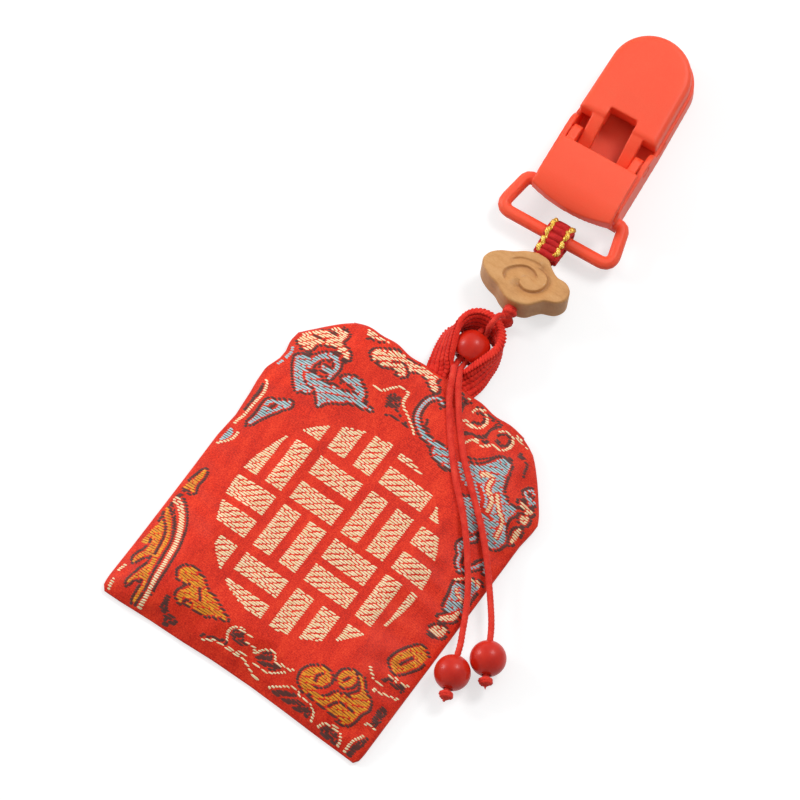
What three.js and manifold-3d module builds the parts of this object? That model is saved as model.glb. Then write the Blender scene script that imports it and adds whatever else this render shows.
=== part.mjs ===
// Amulet pouch: a brocade pouch on a braided tape loop, with a toggle cord, a carved cloud
// bead, a knotted tab and a plastic lever clip. Millimetres, +Z up, lying on its back.
// X runs across the pouch, Y along it towards the clip, and the origin is the middle of its back.
import * as THREE from "three";
import { mergeVertices } from "three/addons/utils/BufferGeometryUtils.js";
import Module from "manifold-3d";

const wasm = await Module();
wasm.setup();

// Clearance between neighbouring pieces
const GAP = 0.3;

// Pouch
const POUCH_WIDTH = 66;
const POUCH_LENGTH = 80;
const CORNER_CHAMFER = 9.5;
const CLOTH = 0.8;
const LINING = 0.4;
const LINING_INSET = 7;
const EDGE_ROLL = 14;
const SLIP_WIDTH = 44;
const SLIP_THICKNESS = 1.2;
const SLIP_FROM_FOLD = 11;
const SLIP_TRAVEL = 4;
const SLIP_TO_TAPE = 0.5;

// Tape loop that comes out of the mouth
const TAPE_WIDTH = 6.5;
const TAPE_THICKNESS = 1.8;
const TAPE_PINCH = 5.3;
const TAPE_HIDDEN = 12.5;

// Thin cord, beads and knots
const CORD_DIAMETER = 1.5;
const BEAD_DIAMETER = 8;
const END_BORE = CORD_DIAMETER + 2 * GAP;
const END_KNOT_DIAMETER = 3;
const UPPER_KNOT_DIAMETER = 3;
const LOWER_KNOT_DIAMETER = 2.6;

// Cloud bead and the cord inside it
const CLOUD_WIDTH = 21.2;
const CLOUD_LENGTH = 13.8;
const CLOUD_THICKNESS = 7.2;
const CLOUD_ROUNDING = 0.7;
const CLOUD_OFF_AXIS = -0.6;
const CLOUD_SLANT = THREE.MathUtils.degToRad(3.5);
const CORE_DIAMETER = 2;

// Knotted tab round the clip's bar
const TAB_WIDTH = 5.8;
const TAB_THICKNESS = 1.4;
const TAB_LENGTH = 6;
const TAB_PLAY = 0.4;
const GOLD_DIAMETER = 0.8;

// Where the clip's bar lies, measured from the middle of the pouch's mouth, and how things turn
const BAR_X = 0.2;
const BAR_BEYOND_MOUTH = 40.9;
const HANGER_YAW = THREE.MathUtils.degToRad(6.1);
const HANGER_PITCH = THREE.MathUtils.degToRad(9.5);
const CLIP_YAW = THREE.MathUtils.degToRad(5.8);
const CLIP_ASIDE = -0.6;

// Clip: lengths along it are measured from the bar's centre line
const ROD_DIAMETER = 3;
const LOOP_INNER_WIDTH = 25;
const LOOP_DEPTH = 9.4;
const LOOP_CORNER = 3;
const LOOP_SHOULDER_WIDTH = 23.8;
const CLIP_WIDTH = 20.4;
const CLIP_REAR = 8.4;
const CLIP_TIP = 50.4;
const TIP_ROUND = 9;
const CLIP_WALL = 1.3;
const CLIP_FLOOR = 1.7;
const RIM_HEIGHT = 5.2;
const EAR_HEIGHT = 8.7;
const TRUNNION_DIAMETER = 2.2;
const JAW_WIDTH = 19.2;
const JAW_TAPER = 0.4;
const JAW_HEIGHT = 4.7;
const JAW_WALL = 1.6;
const JAW_ROUNDING = 1.3;
const JAW_PIVOT = 14.2;
const JAW_PIVOT_HEIGHT = 4.2;
const JAW_TRUNNION = 2;
const ARM_WIDTH = 2.9;
const ARM_DEPTH = 1.7;
const WINDOW_WIDTH = 6.7;
const WINDOW_DEPTH = 3.1;
const GRIP_LENGTH = 9.6;
const TOOTH_PITCH = 2;
const TOOTH_HEIGHT = 0.75;
const LEVER_PIVOT = 21.9;
const LEVER_PIVOT_HEIGHT = 6.8;
const FLAP_WIDTH = 19.6;
const FLAP_THICKNESS = 1.8;
const FLAP_REAR = 5.4;
const FLAP_BOW = 1.4;
const FLAP_LIP = 3;
const LUG_WIDTH = 2;
const LUG_RADIUS = 2;
const CAM_RADIUS = 0.8;
const CAM_ARM = 3.6;
const SWING_ROOM = 5.2;
const FLAP_SETBACK = 2.5;
const EAR_SETBACK = 0.7;
const SLOT_LENGTH = 3.2;
const SLOT_HEIGHT = 1;

// Sizes that follow from those above
const MOUTH = POUCH_LENGTH / 2;
const FOLD = -POUCH_LENGTH / 2;
const RIM = CLOTH + GAP;
const LINING_TOP = RIM + LINING;
const SLIP_LENGTH = POUCH_LENGTH - SLIP_FROM_FOLD - SLIP_TRAVEL - SLIP_TO_TAPE - TAPE_HIDDEN;
const CORE = Math.max(SLIP_THICKNESS, TAPE_THICKNESS);
const INSIDE = LINING_TOP + GAP;
const LINING_DROP = 1.5 * GAP;
const CROWN = INSIDE + CORE + GAP + LINING + LINING_DROP;
const CORD_RADIUS = CORD_DIAMETER / 2;
const BEAD_RADIUS = BEAD_DIAMETER / 2;
const STRAND_OFFSET = CORD_RADIUS + GAP / 2;
const STOPPER_BORE = 2 * (STRAND_OFFSET + CORD_RADIUS + GAP);
const BAR_RADIUS = ROD_DIAMETER / 2;
const TAB_EYE = BAR_RADIUS + TAB_PLAY;
const TAB_RADIUS = TAB_EYE + TAB_THICKNESS;
const BAR_HEIGHT = TAB_RADIUS + 2 * GAP;
const CLOUD_END = TAB_LENGTH + GAP;
const KNOT_POCKET = UPPER_KNOT_DIAMETER / 2 + 1.2 * GAP;
const KNOT_STATION = CLOUD_END + CLOUD_LENGTH + 0.5 * KNOT_POCKET;
const FLAP_UNDER = EAR_HEIGHT + GAP;
const FLAP_FRONT = LEVER_PIVOT - FLAP_SETBACK;
const JAW_SHOULDER = LEVER_PIVOT + SWING_ROOM;
const JAW_BOTTOM = RIM_HEIGHT + GAP;
const JAW_TOP = JAW_BOTTOM + JAW_HEIGHT;
const INNER_HALF = CLIP_WIDTH / 2 - CLIP_WALL;
const LUG_OUTER = INNER_HALF - GAP;
const ARM_INNER = WINDOW_WIDTH / 2;
const ARM_OUTER = ARM_INNER + ARM_WIDTH;
const GRIP_BOTTOM = JAW_BOTTOM - TOOTH_HEIGHT - GAP;
const SMALL = 0.05;

// Materials
const paint = (color, roughness, metalness = 0) =>
  new THREE.MeshStandardMaterial({ color, roughness, metalness });
const brocade = paint(0xc8342a, 0.55);
const lining = paint(0xb23a30, 0.9);
const paper = paint(0xefe4cc, 0.85);
const tapeRed = paint(0xd02c28, 0.8);
const cordRed = paint(0xd83030, 0.75);
const beadRed = paint(0xc42a22, 0.3);
const wood = paint(0xc8935a, 0.6);
const gold = paint(0xe0b050, 0.35, 0.8);
const plastic = paint(0xf4553c, 0.4);

const part = new THREE.Group();
const mouth = new THREE.Group();
mouth.position.y = MOUTH;
part.add(mouth);
const hanger = new THREE.Group();
hanger.position.set(BAR_X, BAR_BEYOND_MOUTH, BAR_HEIGHT);
hanger.rotation.set(-HANGER_PITCH, 0, HANGER_YAW, "ZYX");
mouth.add(hanger);
const clip = new THREE.Group();
clip.position.set(BAR_X, BAR_BEYOND_MOUTH, 0);
clip.rotation.z = CLIP_YAW;
clip.translateX(CLIP_ASIDE);
mouth.add(clip);

function add(group, name, geometry, material) {
  const mesh = new THREE.Mesh(geometry, material);
  mesh.name = name;
  group.add(mesh);
  return mesh;
}

// A closed geometry as a solid that can be joined and cut.
function solid(geometry) {
  const bare = geometry.index ? geometry.toNonIndexed() : geometry.clone();
  bare.deleteAttribute("normal");
  bare.deleteAttribute("uv");
  const merged = mergeVertices(bare, 1e-4);
  return new wasm.Manifold(
    new wasm.Mesh({
      numProp: 3,
      vertProperties: new Float32Array(merged.attributes.position.array),
      triVerts: new Uint32Array(merged.index.array),
    }),
  );
}

function geometryOf(body) {
  const data = body.getMesh();
  const geometry = new THREE.BufferGeometry();
  geometry.setAttribute("position", new THREE.BufferAttribute(data.vertProperties, 3));
  geometry.setIndex(new THREE.BufferAttribute(data.triVerts, 1));
  return geometry;
}

const join = (bodies) => bodies.reduce((all, body) => all.add(body));

function polygon(points) {
  return new THREE.Shape(points.map(([x, y]) => new THREE.Vector2(x, y)));
}

// A plan outline raised from one height to another.
function upright(shape, low, high, curveSegments = 8) {
  const settings = { depth: high - low, bevelEnabled: false, curveSegments };
  return solid(new THREE.ExtrudeGeometry(shape, settings).translate(0, 0, low));
}

// A side profile, drawn along Y and Z, carried across X from one place to another.
function across(shape, from, to, curveSegments = 8) {
  const settings = { depth: to - from, bevelEnabled: false, curveSegments };
  const geometry = new THREE.ExtrudeGeometry(shape, settings);
  geometry.applyMatrix4(new THREE.Matrix4().makeBasis(
    new THREE.Vector3(0, 1, 0),
    new THREE.Vector3(0, 0, 1),
    new THREE.Vector3(1, 0, 0),
  ));
  return solid(geometry.translate(from, 0, 0));
}

function block(low, high) {
  const size = high.map((value, i) => value - low[i]);
  const middle = high.map((value, i) => (value + low[i]) / 2);
  return solid(new THREE.BoxGeometry(...size).translate(...middle));
}

// A round pin along X through a point of the side view.
function pin(from, to, y, z, radius, sides = 20) {
  const geometry = new THREE.CylinderGeometry(radius, radius, to - from, sides);
  geometry.rotateZ(Math.PI / 2);
  return solid(geometry.translate((from + to) / 2, y, z));
}

// A round cord along hand-picked points.
function cord(points, radius, steps, sides = 8) {
  const path = new THREE.CatmullRomCurve3(points.map((p) => new THREE.Vector3(...p)));
  const corners = [];
  for (let i = 0; i < sides; i++) {
    const angle = (2 * Math.PI * i) / sides;
    corners.push([radius * Math.cos(angle), radius * Math.sin(angle)]);
  }
  const settings = { steps, extrudePath: path, bevelEnabled: false };
  return new THREE.ExtrudeGeometry(polygon(corners), settings);
}

// A ball with a bore along Y.
function boredBall(radius, boreRadius, segments = 24) {
  const reach = Math.sqrt(radius * radius - boreRadius * boreRadius);
  const start = Math.asin(boreRadius / radius);
  const profile = [new THREE.Vector2(boreRadius, -reach)];
  const rows = 10;
  for (let i = 1; i < rows; i++) {
    const angle = start + ((Math.PI - 2 * start) * i) / rows;
    profile.push(new THREE.Vector2(radius * Math.sin(angle), -radius * Math.cos(angle)));
  }
  profile.push(new THREE.Vector2(boreRadius, reach));
  profile.push(new THREE.Vector2(boreRadius, -reach));
  return new THREE.LatheGeometry(profile, segments);
}

// A knot: a ball squeezed along its cord, which runs along Y.
function knot(diameter, squeeze = 1) {
  return new THREE.SphereGeometry(diameter / 2, 16, 10).scale(1, squeeze, 1);
}

// Two grids of points, an upper and a lower one, closed round their border.
function closedGrids(columns, rows, upper, lower) {
  const positions = [];
  const index = [];
  for (const surface of [upper, lower]) {
    for (let row = 0; row <= rows; row++) {
      for (let column = 0; column <= columns; column++) {
        positions.push(...surface(column / columns, row / rows));
      }
    }
  }
  const stride = columns + 1;
  const layer = stride * (rows + 1);
  const quad = (a, b, c, d) => index.push(a, b, c, a, c, d);
  for (let row = 0; row < rows; row++) {
    for (let column = 0; column < columns; column++) {
      const a = row * stride + column;
      quad(a, a + 1, a + 1 + stride, a + stride);
      quad(layer + a, layer + a + stride, layer + a + 1 + stride, layer + a + 1);
    }
    const left = row * stride;
    const right = left + columns;
    quad(left, left + stride, layer + left + stride, layer + left);
    quad(right, layer + right, layer + right + stride, right + stride);
  }
  for (let column = 0; column < columns; column++) {
    const top = rows * stride + column;
    quad(column, layer + column, layer + column + 1, column + 1);
    quad(top, top + 1, layer + top + 1, layer + top);
  }
  const geometry = new THREE.BufferGeometry();
  geometry.setAttribute("position", new THREE.Float32BufferAttribute(positions, 3));
  geometry.setIndex(index);
  return geometry;
}

// Half the pouch's width at a place along it: straight sides, then the folded top corners.
function halfWidth(y) {
  return POUCH_WIDTH / 2 - Math.max(0, y - (MOUTH - CORNER_CHAMFER));
}

// How far the pouch has swollen at a distance from an edge: 0 on the edge and 1 past the roll.
function swell(distance) {
  const left = 1 - THREE.MathUtils.clamp(distance / EDGE_ROLL, 0, 1);
  return 1 - left * left;
}

// The inner face of the front panel. It stays raised at the mouth, where the tape comes out.
function frontInside(x, y) {
  const fullness = swell(halfWidth(y) - Math.abs(x)) * swell(y - FOLD);
  return RIM + (CROWN - RIM) * fullness;
}

// A layer of cloth under the front, from one depth below its inner face to another.
function frontLayer(inset, above, below, columns = 18, rows = 16) {
  const at = (lift) => (u, v) => {
    const y = THREE.MathUtils.lerp(FOLD + inset, MOUTH - (inset ? GAP : 0), v);
    const x = (2 * u - 1) * (halfWidth(y) - inset);
    return [x, y, frontInside(x, y) + lift];
  };
  return closedGrids(columns, rows, at(above), at(below));
}

function pouchOutline(inset) {
  const half = POUCH_WIDTH / 2 - inset;
  const top = MOUTH - (inset ? GAP : 0);
  const shoulder = MOUTH - CORNER_CHAMFER;
  const corner = halfWidth(top) - inset;
  return polygon([
    [-half, FOLD + inset],
    [half, FOLD + inset],
    [half, shoulder],
    [corner, top],
    [-corner, top],
    [-half, shoulder],
  ]);
}

// The brocade strip is folded at the bottom: its front half is domed, its back half lies flat.
function makePouch() {
  add(part, "front_panel", frontLayer(0, CLOTH, 0), brocade);
  add(part, "back_panel", geometryOf(upright(pouchOutline(0), 0, CLOTH)), brocade);
  const padding = frontLayer(LINING_INSET, -LINING_DROP, -LINING_DROP - LINING, 12, 10);
  add(part, "lining_front", padding, lining);
  const backing = upright(pouchOutline(LINING_INSET), RIM, LINING_TOP);
  add(part, "lining_back", geometryOf(backing), lining);
  const low = [-SLIP_WIDTH / 2, FOLD + SLIP_FROM_FOLD, INSIDE];
  const high = [SLIP_WIDTH / 2, FOLD + SLIP_FROM_FOLD + SLIP_LENGTH, INSIDE + SLIP_THICKNESS];
  add(part, "amulet_slip", geometryOf(block(low, high)), paper);
}

// The tape lies flat between the panels, leans in over the stopper bead and stands on edge at the
// loop's end, where the cord pinches it. Each station gives x, y, height, lean in degrees, width.
const TAPE_FLAT = INSIDE + TAPE_THICKNESS / 2;
const TAPE_ROUTE = [
  [-2.8, -TAPE_HIDDEN, TAPE_FLAT, 0, TAPE_WIDTH],
  [-2.8, -6, TAPE_FLAT, 0, TAPE_WIDTH],
  [-2.8, -1.2, TAPE_FLAT, 0, TAPE_WIDTH],
  [-3.45, 1.2, TAPE_FLAT + SMALL, 0, TAPE_WIDTH],
  [-5.2, 3.8, 3.4, 42, TAPE_WIDTH],
  [-5.6, 7, 4.2, 55, TAPE_WIDTH],
  [-6, 10.2, 4.45, 58, TAPE_WIDTH],
  [-5.7, 12.9, 4.5, 62, TAPE_WIDTH],
  [-4.6, 15.3, 4.6, 71, 6],
  [-2.8, 16.5, 4.7, 80, 5.6],
  [-0.4, 17.15, 4.7, 88, TAPE_PINCH],
  [2, 16.5, 4.7, 88, TAPE_PINCH],
  [4.2, 15.1, 4.65, 82, 5.7],
  [5.3, 13.2, 4.55, 78, TAPE_WIDTH],
  [5.65, 10.3, 4.45, 77, TAPE_WIDTH],
  [5.4, 7.4, 4.2, 66, TAPE_WIDTH],
  [5.3, 4, 3.5, 40, TAPE_WIDTH],
  [4.4, 1.2, TAPE_FLAT + SMALL, 0, TAPE_WIDTH],
  [4.1, -1.2, TAPE_FLAT, 0, TAPE_WIDTH],
  [4.1, -6, TAPE_FLAT, 0, TAPE_WIDTH],
  [4.1, -TAPE_HIDDEN, TAPE_FLAT, 0, TAPE_WIDTH],
];

function makeTape() {
  const path = new THREE.CatmullRomCurve3(TAPE_ROUTE.map(([x, y, z]) => new THREE.Vector3(x, y, z)));
  const last = TAPE_ROUTE.length - 1;
  const steps = 3 * last;
  const edge = (side, face) => (t) => {
    const place = Math.min(t * last, last - 1e-6);
    const [from, to] = [TAPE_ROUTE[Math.floor(place)], TAPE_ROUTE[Math.floor(place) + 1]];
    const share = place - Math.floor(place);
    const lean = THREE.MathUtils.degToRad(THREE.MathUtils.lerp(from[3], to[3], share));
    const width = THREE.MathUtils.lerp(from[4], to[4], share);
    const along = path.getTangent(t).setZ(0).normalize();
    const inward = new THREE.Vector3(along.y, -along.x, 0);
    const upEdge = inward.clone().multiplyScalar(Math.cos(lean)).setZ(Math.sin(lean));
    const outFace = inward.multiplyScalar(-Math.sin(lean)).setZ(Math.cos(lean));
    const point = path.getPoint(t);
    point.addScaledVector(upEdge, (side * width) / 2);
    return point.addScaledVector(outFace, (face * TAPE_THICKNESS) / 2).toArray();
  };
  const skin = (face) => (u, v) => edge(1 - 2 * u, face)(v);
  add(mouth, "loop_tape", closedGrids(2, steps, skin(-1), skin(1)), tapeRed);
}

// The two strands of the cord leave the neck, pass over and under the tape and run through the
// stopper bead; each goes on as a tail that lies over the front and ends in a bead and a knot.
const STOPPER = [0.05, 9.65, BEAD_RADIUS + SMALL];
const STRAND_LEFT = STOPPER[0] - STRAND_OFFSET;
const STRAND_RIGHT = STOPPER[0] + STRAND_OFFSET;
const STRAND_END = STOPPER[1] - BEAD_RADIUS - GAP;
const STRAND_ENTRY = STOPPER[1] + BEAD_RADIUS + 2 * SMALL;
const TAIL_START = STRAND_END - 2.6 * GAP;
const LOWER_KNOT = [2.4, 19.05, 3.8];
const OVER_STRAND = [
  [1.1, 17.7, 8.4],
  [1.1, 16.8, 8.6],
  [1.05, 15.95, 8.55],
  [1, 15.1, 8],
  [STRAND_RIGHT, 14.75, 7.1],
  [STRAND_RIGHT, 14.7, 6.2],
  [STRAND_RIGHT, 14.6, 5.3],
  [STRAND_RIGHT, 14.25, 4.5],
  [STRAND_RIGHT, STRAND_ENTRY, STOPPER[2]],
  [STRAND_RIGHT, STOPPER[1], STOPPER[2]],
  [STRAND_RIGHT, STRAND_END, STOPPER[2]],
];
const UNDER_STRAND = [
  [2.1, 19, 1.8],
  [1.95, 18.5, 1.25],
  [1.6, 17.8, 0.9],
  [1.1, 16.8, 0.85],
  [0.5, 15.9, 0.85],
  [-0.1, 15.2, 1.5],
  [-0.6, 14.6, 2.9],
  [STRAND_LEFT, STRAND_ENTRY, STOPPER[2]],
  [STRAND_LEFT, STOPPER[1], STOPPER[2]],
  [STRAND_LEFT, STRAND_END, STOPPER[2]],
];
const LEFT_TAIL = [
  [STRAND_LEFT, TAIL_START, STOPPER[2]],
  [-0.75, 3.75, 4.65],
  [-0.3, 2.9, 6],
  [0.5, 1.6, 7.2],
  [1.7, -0.6, 7.25],
  [3.4, -3.4, 7.1],
  [6.1, -7, 6.9],
  [9, -10.6, 6.8],
  [12, -14, 6.8],
  [15.2, -17.3, 6.8],
  [18.6, -20.4, 6.8],
  [22, -23.6, 6.6],
  [25.7, -27.7, 6.1],
  [29, -31.8, 5.3],
  [31.8, -35.6, 4.5],
  [34.1, -39.5, 4],
  [36.2, -43.6, 4],
  [37.5, -46.2, 4],
  [38.3, -48.3, 4],
];
const RIGHT_TAIL = [
  [STRAND_RIGHT, TAIL_START, STOPPER[2]],
  [1.1, 3.75, 4.65],
  [1.6, 2.9, 6],
  [2.45, 1.7, 7.2],
  [3.65, -0.3, 7.25],
  [5.45, -2.8, 7.1],
  [8.15, -6.2, 6.9],
  [11.2, -9.6, 6.8],
  [14.3, -12.8, 6.8],
  [17.7, -15.7, 6.8],
  [21.2, -18.6, 6.6],
  [24.8, -21.6, 6.25],
  [28.2, -24.7, 5.6],
  [31.3, -27.9, 4.8],
  [34.3, -31.3, 4.1],
  [37.1, -34.6, 3.9],
  [39.5, -37.6, 4],
  [40.9, -39.6, 4],
  [42, -41.5, 4],
];

// A tail's bead and end knot sit on the line in which the tail arrives.
function endOf(tail) {
  const last = new THREE.Vector3(...tail[tail.length - 1]);
  const before = new THREE.Vector3(...tail[tail.length - 2]);
  const along = last.clone().sub(before).setZ(0).normalize();
  const group = new THREE.Group();
  group.position.copy(last).addScaledVector(along, BEAD_RADIUS + GAP);
  group.position.z = BEAD_RADIUS + SMALL;
  group.rotation.z = Math.atan2(-along.x, along.y);
  mouth.add(group);
  return group;
}

function makeTail(side, points) {
  add(mouth, "tail_cord_" + side, cord(points, CORD_RADIUS, 28), cordRed);
  const end = endOf(points);
  add(end, "end_bead_" + side, boredBall(BEAD_RADIUS, END_BORE / 2), beadRed);
  const knotPlace = BEAD_RADIUS + GAP + 0.4 * END_KNOT_DIAMETER;
  const through = [
    [0, -BEAD_RADIUS + GAP, 0],
    [0, knotPlace, 0],
  ];
  const stub = solid(cord(through, CORD_RADIUS, 1));
  const lump = knot(END_KNOT_DIAMETER, 0.8).translate(0, knotPlace, 0);
  add(end, "end_knot_" + side, geometryOf(stub.add(solid(lump))), cordRed);
}

function makeCord() {
  const stopper = add(mouth, "stopper_bead", boredBall(BEAD_RADIUS, STOPPER_BORE / 2), beadRed);
  stopper.position.set(...STOPPER);
  add(mouth, "neck_strand_over", cord(OVER_STRAND, CORD_RADIUS, 16), cordRed);
  add(mouth, "neck_strand_under", cord(UNDER_STRAND, CORD_RADIUS, 12), cordRed);
  const lower = add(mouth, "neck_knot_lower", knot(LOWER_KNOT_DIAMETER), cordRed);
  lower.position.set(...LOWER_KNOT);
  const upper = add(hanger, "neck_knot_upper", knot(UPPER_KNOT_DIAMETER), cordRed);
  upper.position.y = -KNOT_STATION;
  makeTail("left", LEFT_TAIL);
  makeTail("right", RIGHT_TAIL);
}

// A four-lobed cloud outline with soft notches between the lobes.
function cloudOutline(inset) {
  const a = CLOUD_WIDTH / 2 - inset;
  const b = CLOUD_LENGTH / 2 - inset;
  const quarter = [
    [0, b],
    [0.27 * a, 0.93 * b],
    [0.46 * a, 0.71 * b],
    [0.62 * a, 0.56 * b],
    [0.82 * a, 0.48 * b],
    [0.96 * a, 0.25 * b],
  ];
  const mirror = (points, sx, sy) => points.map(([x, y]) => [sx * x, sy * y]);
  const reversed = quarter.slice(1).reverse();
  const loop = [
    ...quarter,
    [a, 0],
    ...mirror(reversed, 1, -1),
    ...mirror(quarter, -1, -1),
    [-a, 0],
    ...mirror(reversed, -1, 1),
  ];
  const curve = new THREE.CatmullRomCurve3(loop.map(([x, y]) => new THREE.Vector3(x, y, 0)), true);
  return polygon(curve.getPoints(64).slice(0, -1).map((p) => [p.x, p.y]));
}

function makeHanger() {
  const bevel = {
    depth: CLOUD_THICKNESS - 2 * CLOUD_ROUNDING,
    bevelThickness: CLOUD_ROUNDING,
    bevelSize: CLOUD_ROUNDING,
    bevelSegments: 3,
  };
  const plump = new THREE.ExtrudeGeometry(cloudOutline(CLOUD_ROUNDING), bevel);
  const centre = -CLOUD_END - CLOUD_LENGTH / 2;
  plump.rotateZ(CLOUD_SLANT);
  plump.translate(CLOUD_OFF_AXIS, centre, CLOUD_ROUNDING - CLOUD_THICKNESS / 2);
  const coreEnd = KNOT_STATION - KNOT_POCKET - SMALL;
  const boreRadius = CORE_DIAMETER / 2 + GAP + SMALL;
  const bore = new THREE.CylinderGeometry(boreRadius, boreRadius, 2 * CLOUD_LENGTH, 16);
  const pocket = new THREE.SphereGeometry(KNOT_POCKET, 20, 14).translate(0, -KNOT_STATION, 0);
  const bead = solid(plump).subtract(solid(bore.translate(0, centre, 0))).subtract(solid(pocket));
  add(hanger, "cloud_bead", geometryOf(bead), wood);
  const coreRadius = CORE_DIAMETER / 2;
  const core = new THREE.CylinderGeometry(coreRadius, coreRadius, coreEnd - CLOUD_END, 12);
  core.translate(0, -(coreEnd + CLOUD_END) / 2, 0);
  add(hanger, "hanger_cord", core, cordRed);
  makeTab();
}

// The tab is a flat knotted band folded round the bar: an eye with two legs that come together.
function makeTab() {
  const profile = new THREE.Shape();
  const opening = Math.acos((TAB_RADIUS - TAB_THICKNESS) / TAB_LENGTH) + 0.12;
  profile.moveTo(-TAB_LENGTH, -TAB_THICKNESS);
  profile.absarc(0, 0, TAB_RADIUS, opening - Math.PI, Math.PI - opening, false);
  profile.lineTo(-TAB_LENGTH, TAB_THICKNESS);
  const eye = new THREE.Path();
  eye.absarc(0, 0, TAB_EYE, 0, 2 * Math.PI, true);
  profile.holes.push(eye);
  add(hanger, "tab_band", geometryOf(across(profile, -TAB_WIDTH / 2, TAB_WIDTH / 2, 20)), tapeRed);
  for (const [name, side] of [["tab_gold_left", -1], ["tab_gold_right", 1]]) {
    const x = side * (TAB_WIDTH / 2 - GOLD_DIAMETER / 2);
    const rise = TAB_RADIUS + GAP + GOLD_DIAMETER / 2;
    const foot = TAB_THICKNESS + 2 * GAP + GOLD_DIAMETER / 2;
    const points = [
      [x, GOLD_DIAMETER / 2 - TAB_LENGTH, foot],
      [x, -TAB_LENGTH / 2, (rise + foot) / 2],
    ];
    for (let degrees = 100; degrees >= -20; degrees -= 20) {
      const angle = THREE.MathUtils.degToRad(degrees);
      points.push([x, rise * Math.cos(angle), rise * Math.sin(angle)]);
    }
    add(hanger, name, cord(points, GOLD_DIAMETER / 2, 20), gold);
  }
}

// Plan of a jaw: sides that draw in a little past the shoulder, and a round tip.
function jawPlan(halfJaw, rear, tip, round) {
  const narrow = halfJaw - JAW_TAPER;
  const shape = new THREE.Shape();
  shape.moveTo(-halfJaw, rear);
  shape.lineTo(halfJaw, rear);
  if (rear < JAW_SHOULDER) shape.lineTo(halfJaw, JAW_SHOULDER);
  shape.lineTo(narrow, tip - round);
  shape.absellipse(0, tip - round, narrow, round, 0, Math.PI, false);
  if (rear < JAW_SHOULDER) shape.lineTo(-halfJaw, JAW_SHOULDER);
  shape.lineTo(-halfJaw, rear);
  return shape;
}

// A rounded run of the loop's rod: straight stretches joined by bends.
function loopPath() {
  const x = LOOP_INNER_WIDTH / 2 + BAR_RADIUS;
  const shoulder = LOOP_SHOULDER_WIDTH / 2;
  const root = [INNER_HALF + CLIP_WALL / 2, CLIP_REAR + BAR_RADIUS / 2];
  const half = [
    new THREE.Vector3(root[0], root[1], BAR_HEIGHT),
    new THREE.Vector3(shoulder, LOOP_DEPTH, BAR_HEIGHT),
    new THREE.Vector3(x, 0, BAR_HEIGHT),
  ];
  const mirrored = half.map((p) => new THREE.Vector3(-p.x, p.y, p.z)).reverse();
  const corners = [...half, ...mirrored];
  const path = new THREE.CurvePath();
  let from = corners[0];
  for (let i = 1; i < corners.length - 1; i++) {
    const radius = i === 1 || i === corners.length - 2 ? LOOP_CORNER / 2 : LOOP_CORNER;
    const before = corners[i].clone().add(corners[i - 1].clone().sub(corners[i]).setLength(radius));
    const after = corners[i].clone().add(corners[i + 1].clone().sub(corners[i]).setLength(radius));
    path.add(new THREE.LineCurve3(from, before));
    path.add(new THREE.QuadraticBezierCurve3(before, corners[i], after));
    from = after;
  }
  path.add(new THREE.LineCurve3(from, corners[corners.length - 1]));
  return path;
}

function loopRod() {
  const corners = [];
  const sides = 10;
  for (let i = 0; i < sides; i++) {
    const angle = (2 * Math.PI * (i + 0.5)) / sides;
    corners.push([BAR_RADIUS * Math.cos(angle), BAR_RADIUS * Math.sin(angle)]);
  }
  const settings = { steps: 64, extrudePath: loopPath(), bevelEnabled: false };
  return solid(new THREE.ExtrudeGeometry(polygon(corners), settings));
}

// Rows of teeth across a grip, pointing up or down, that mesh with the other jaw's rows.
function teeth(half, base, height, shift) {
  const rows = [];
  const start = CLIP_TIP - TIP_ROUND - GRIP_LENGTH + TOOTH_PITCH * (3 + shift);
  for (let y = start; y < CLIP_TIP - TIP_ROUND + TOOTH_PITCH; y += TOOTH_PITCH) {
    const root = base - 0.2 * Math.sign(height);
    const points = [
      [y - TOOTH_HEIGHT, root],
      [y + TOOTH_HEIGHT, root],
      [y, base + height],
    ];
    rows.push(across(polygon(height > 0 ? points : points.reverse()), -half, half));
  }
  return join(rows);
}

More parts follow.
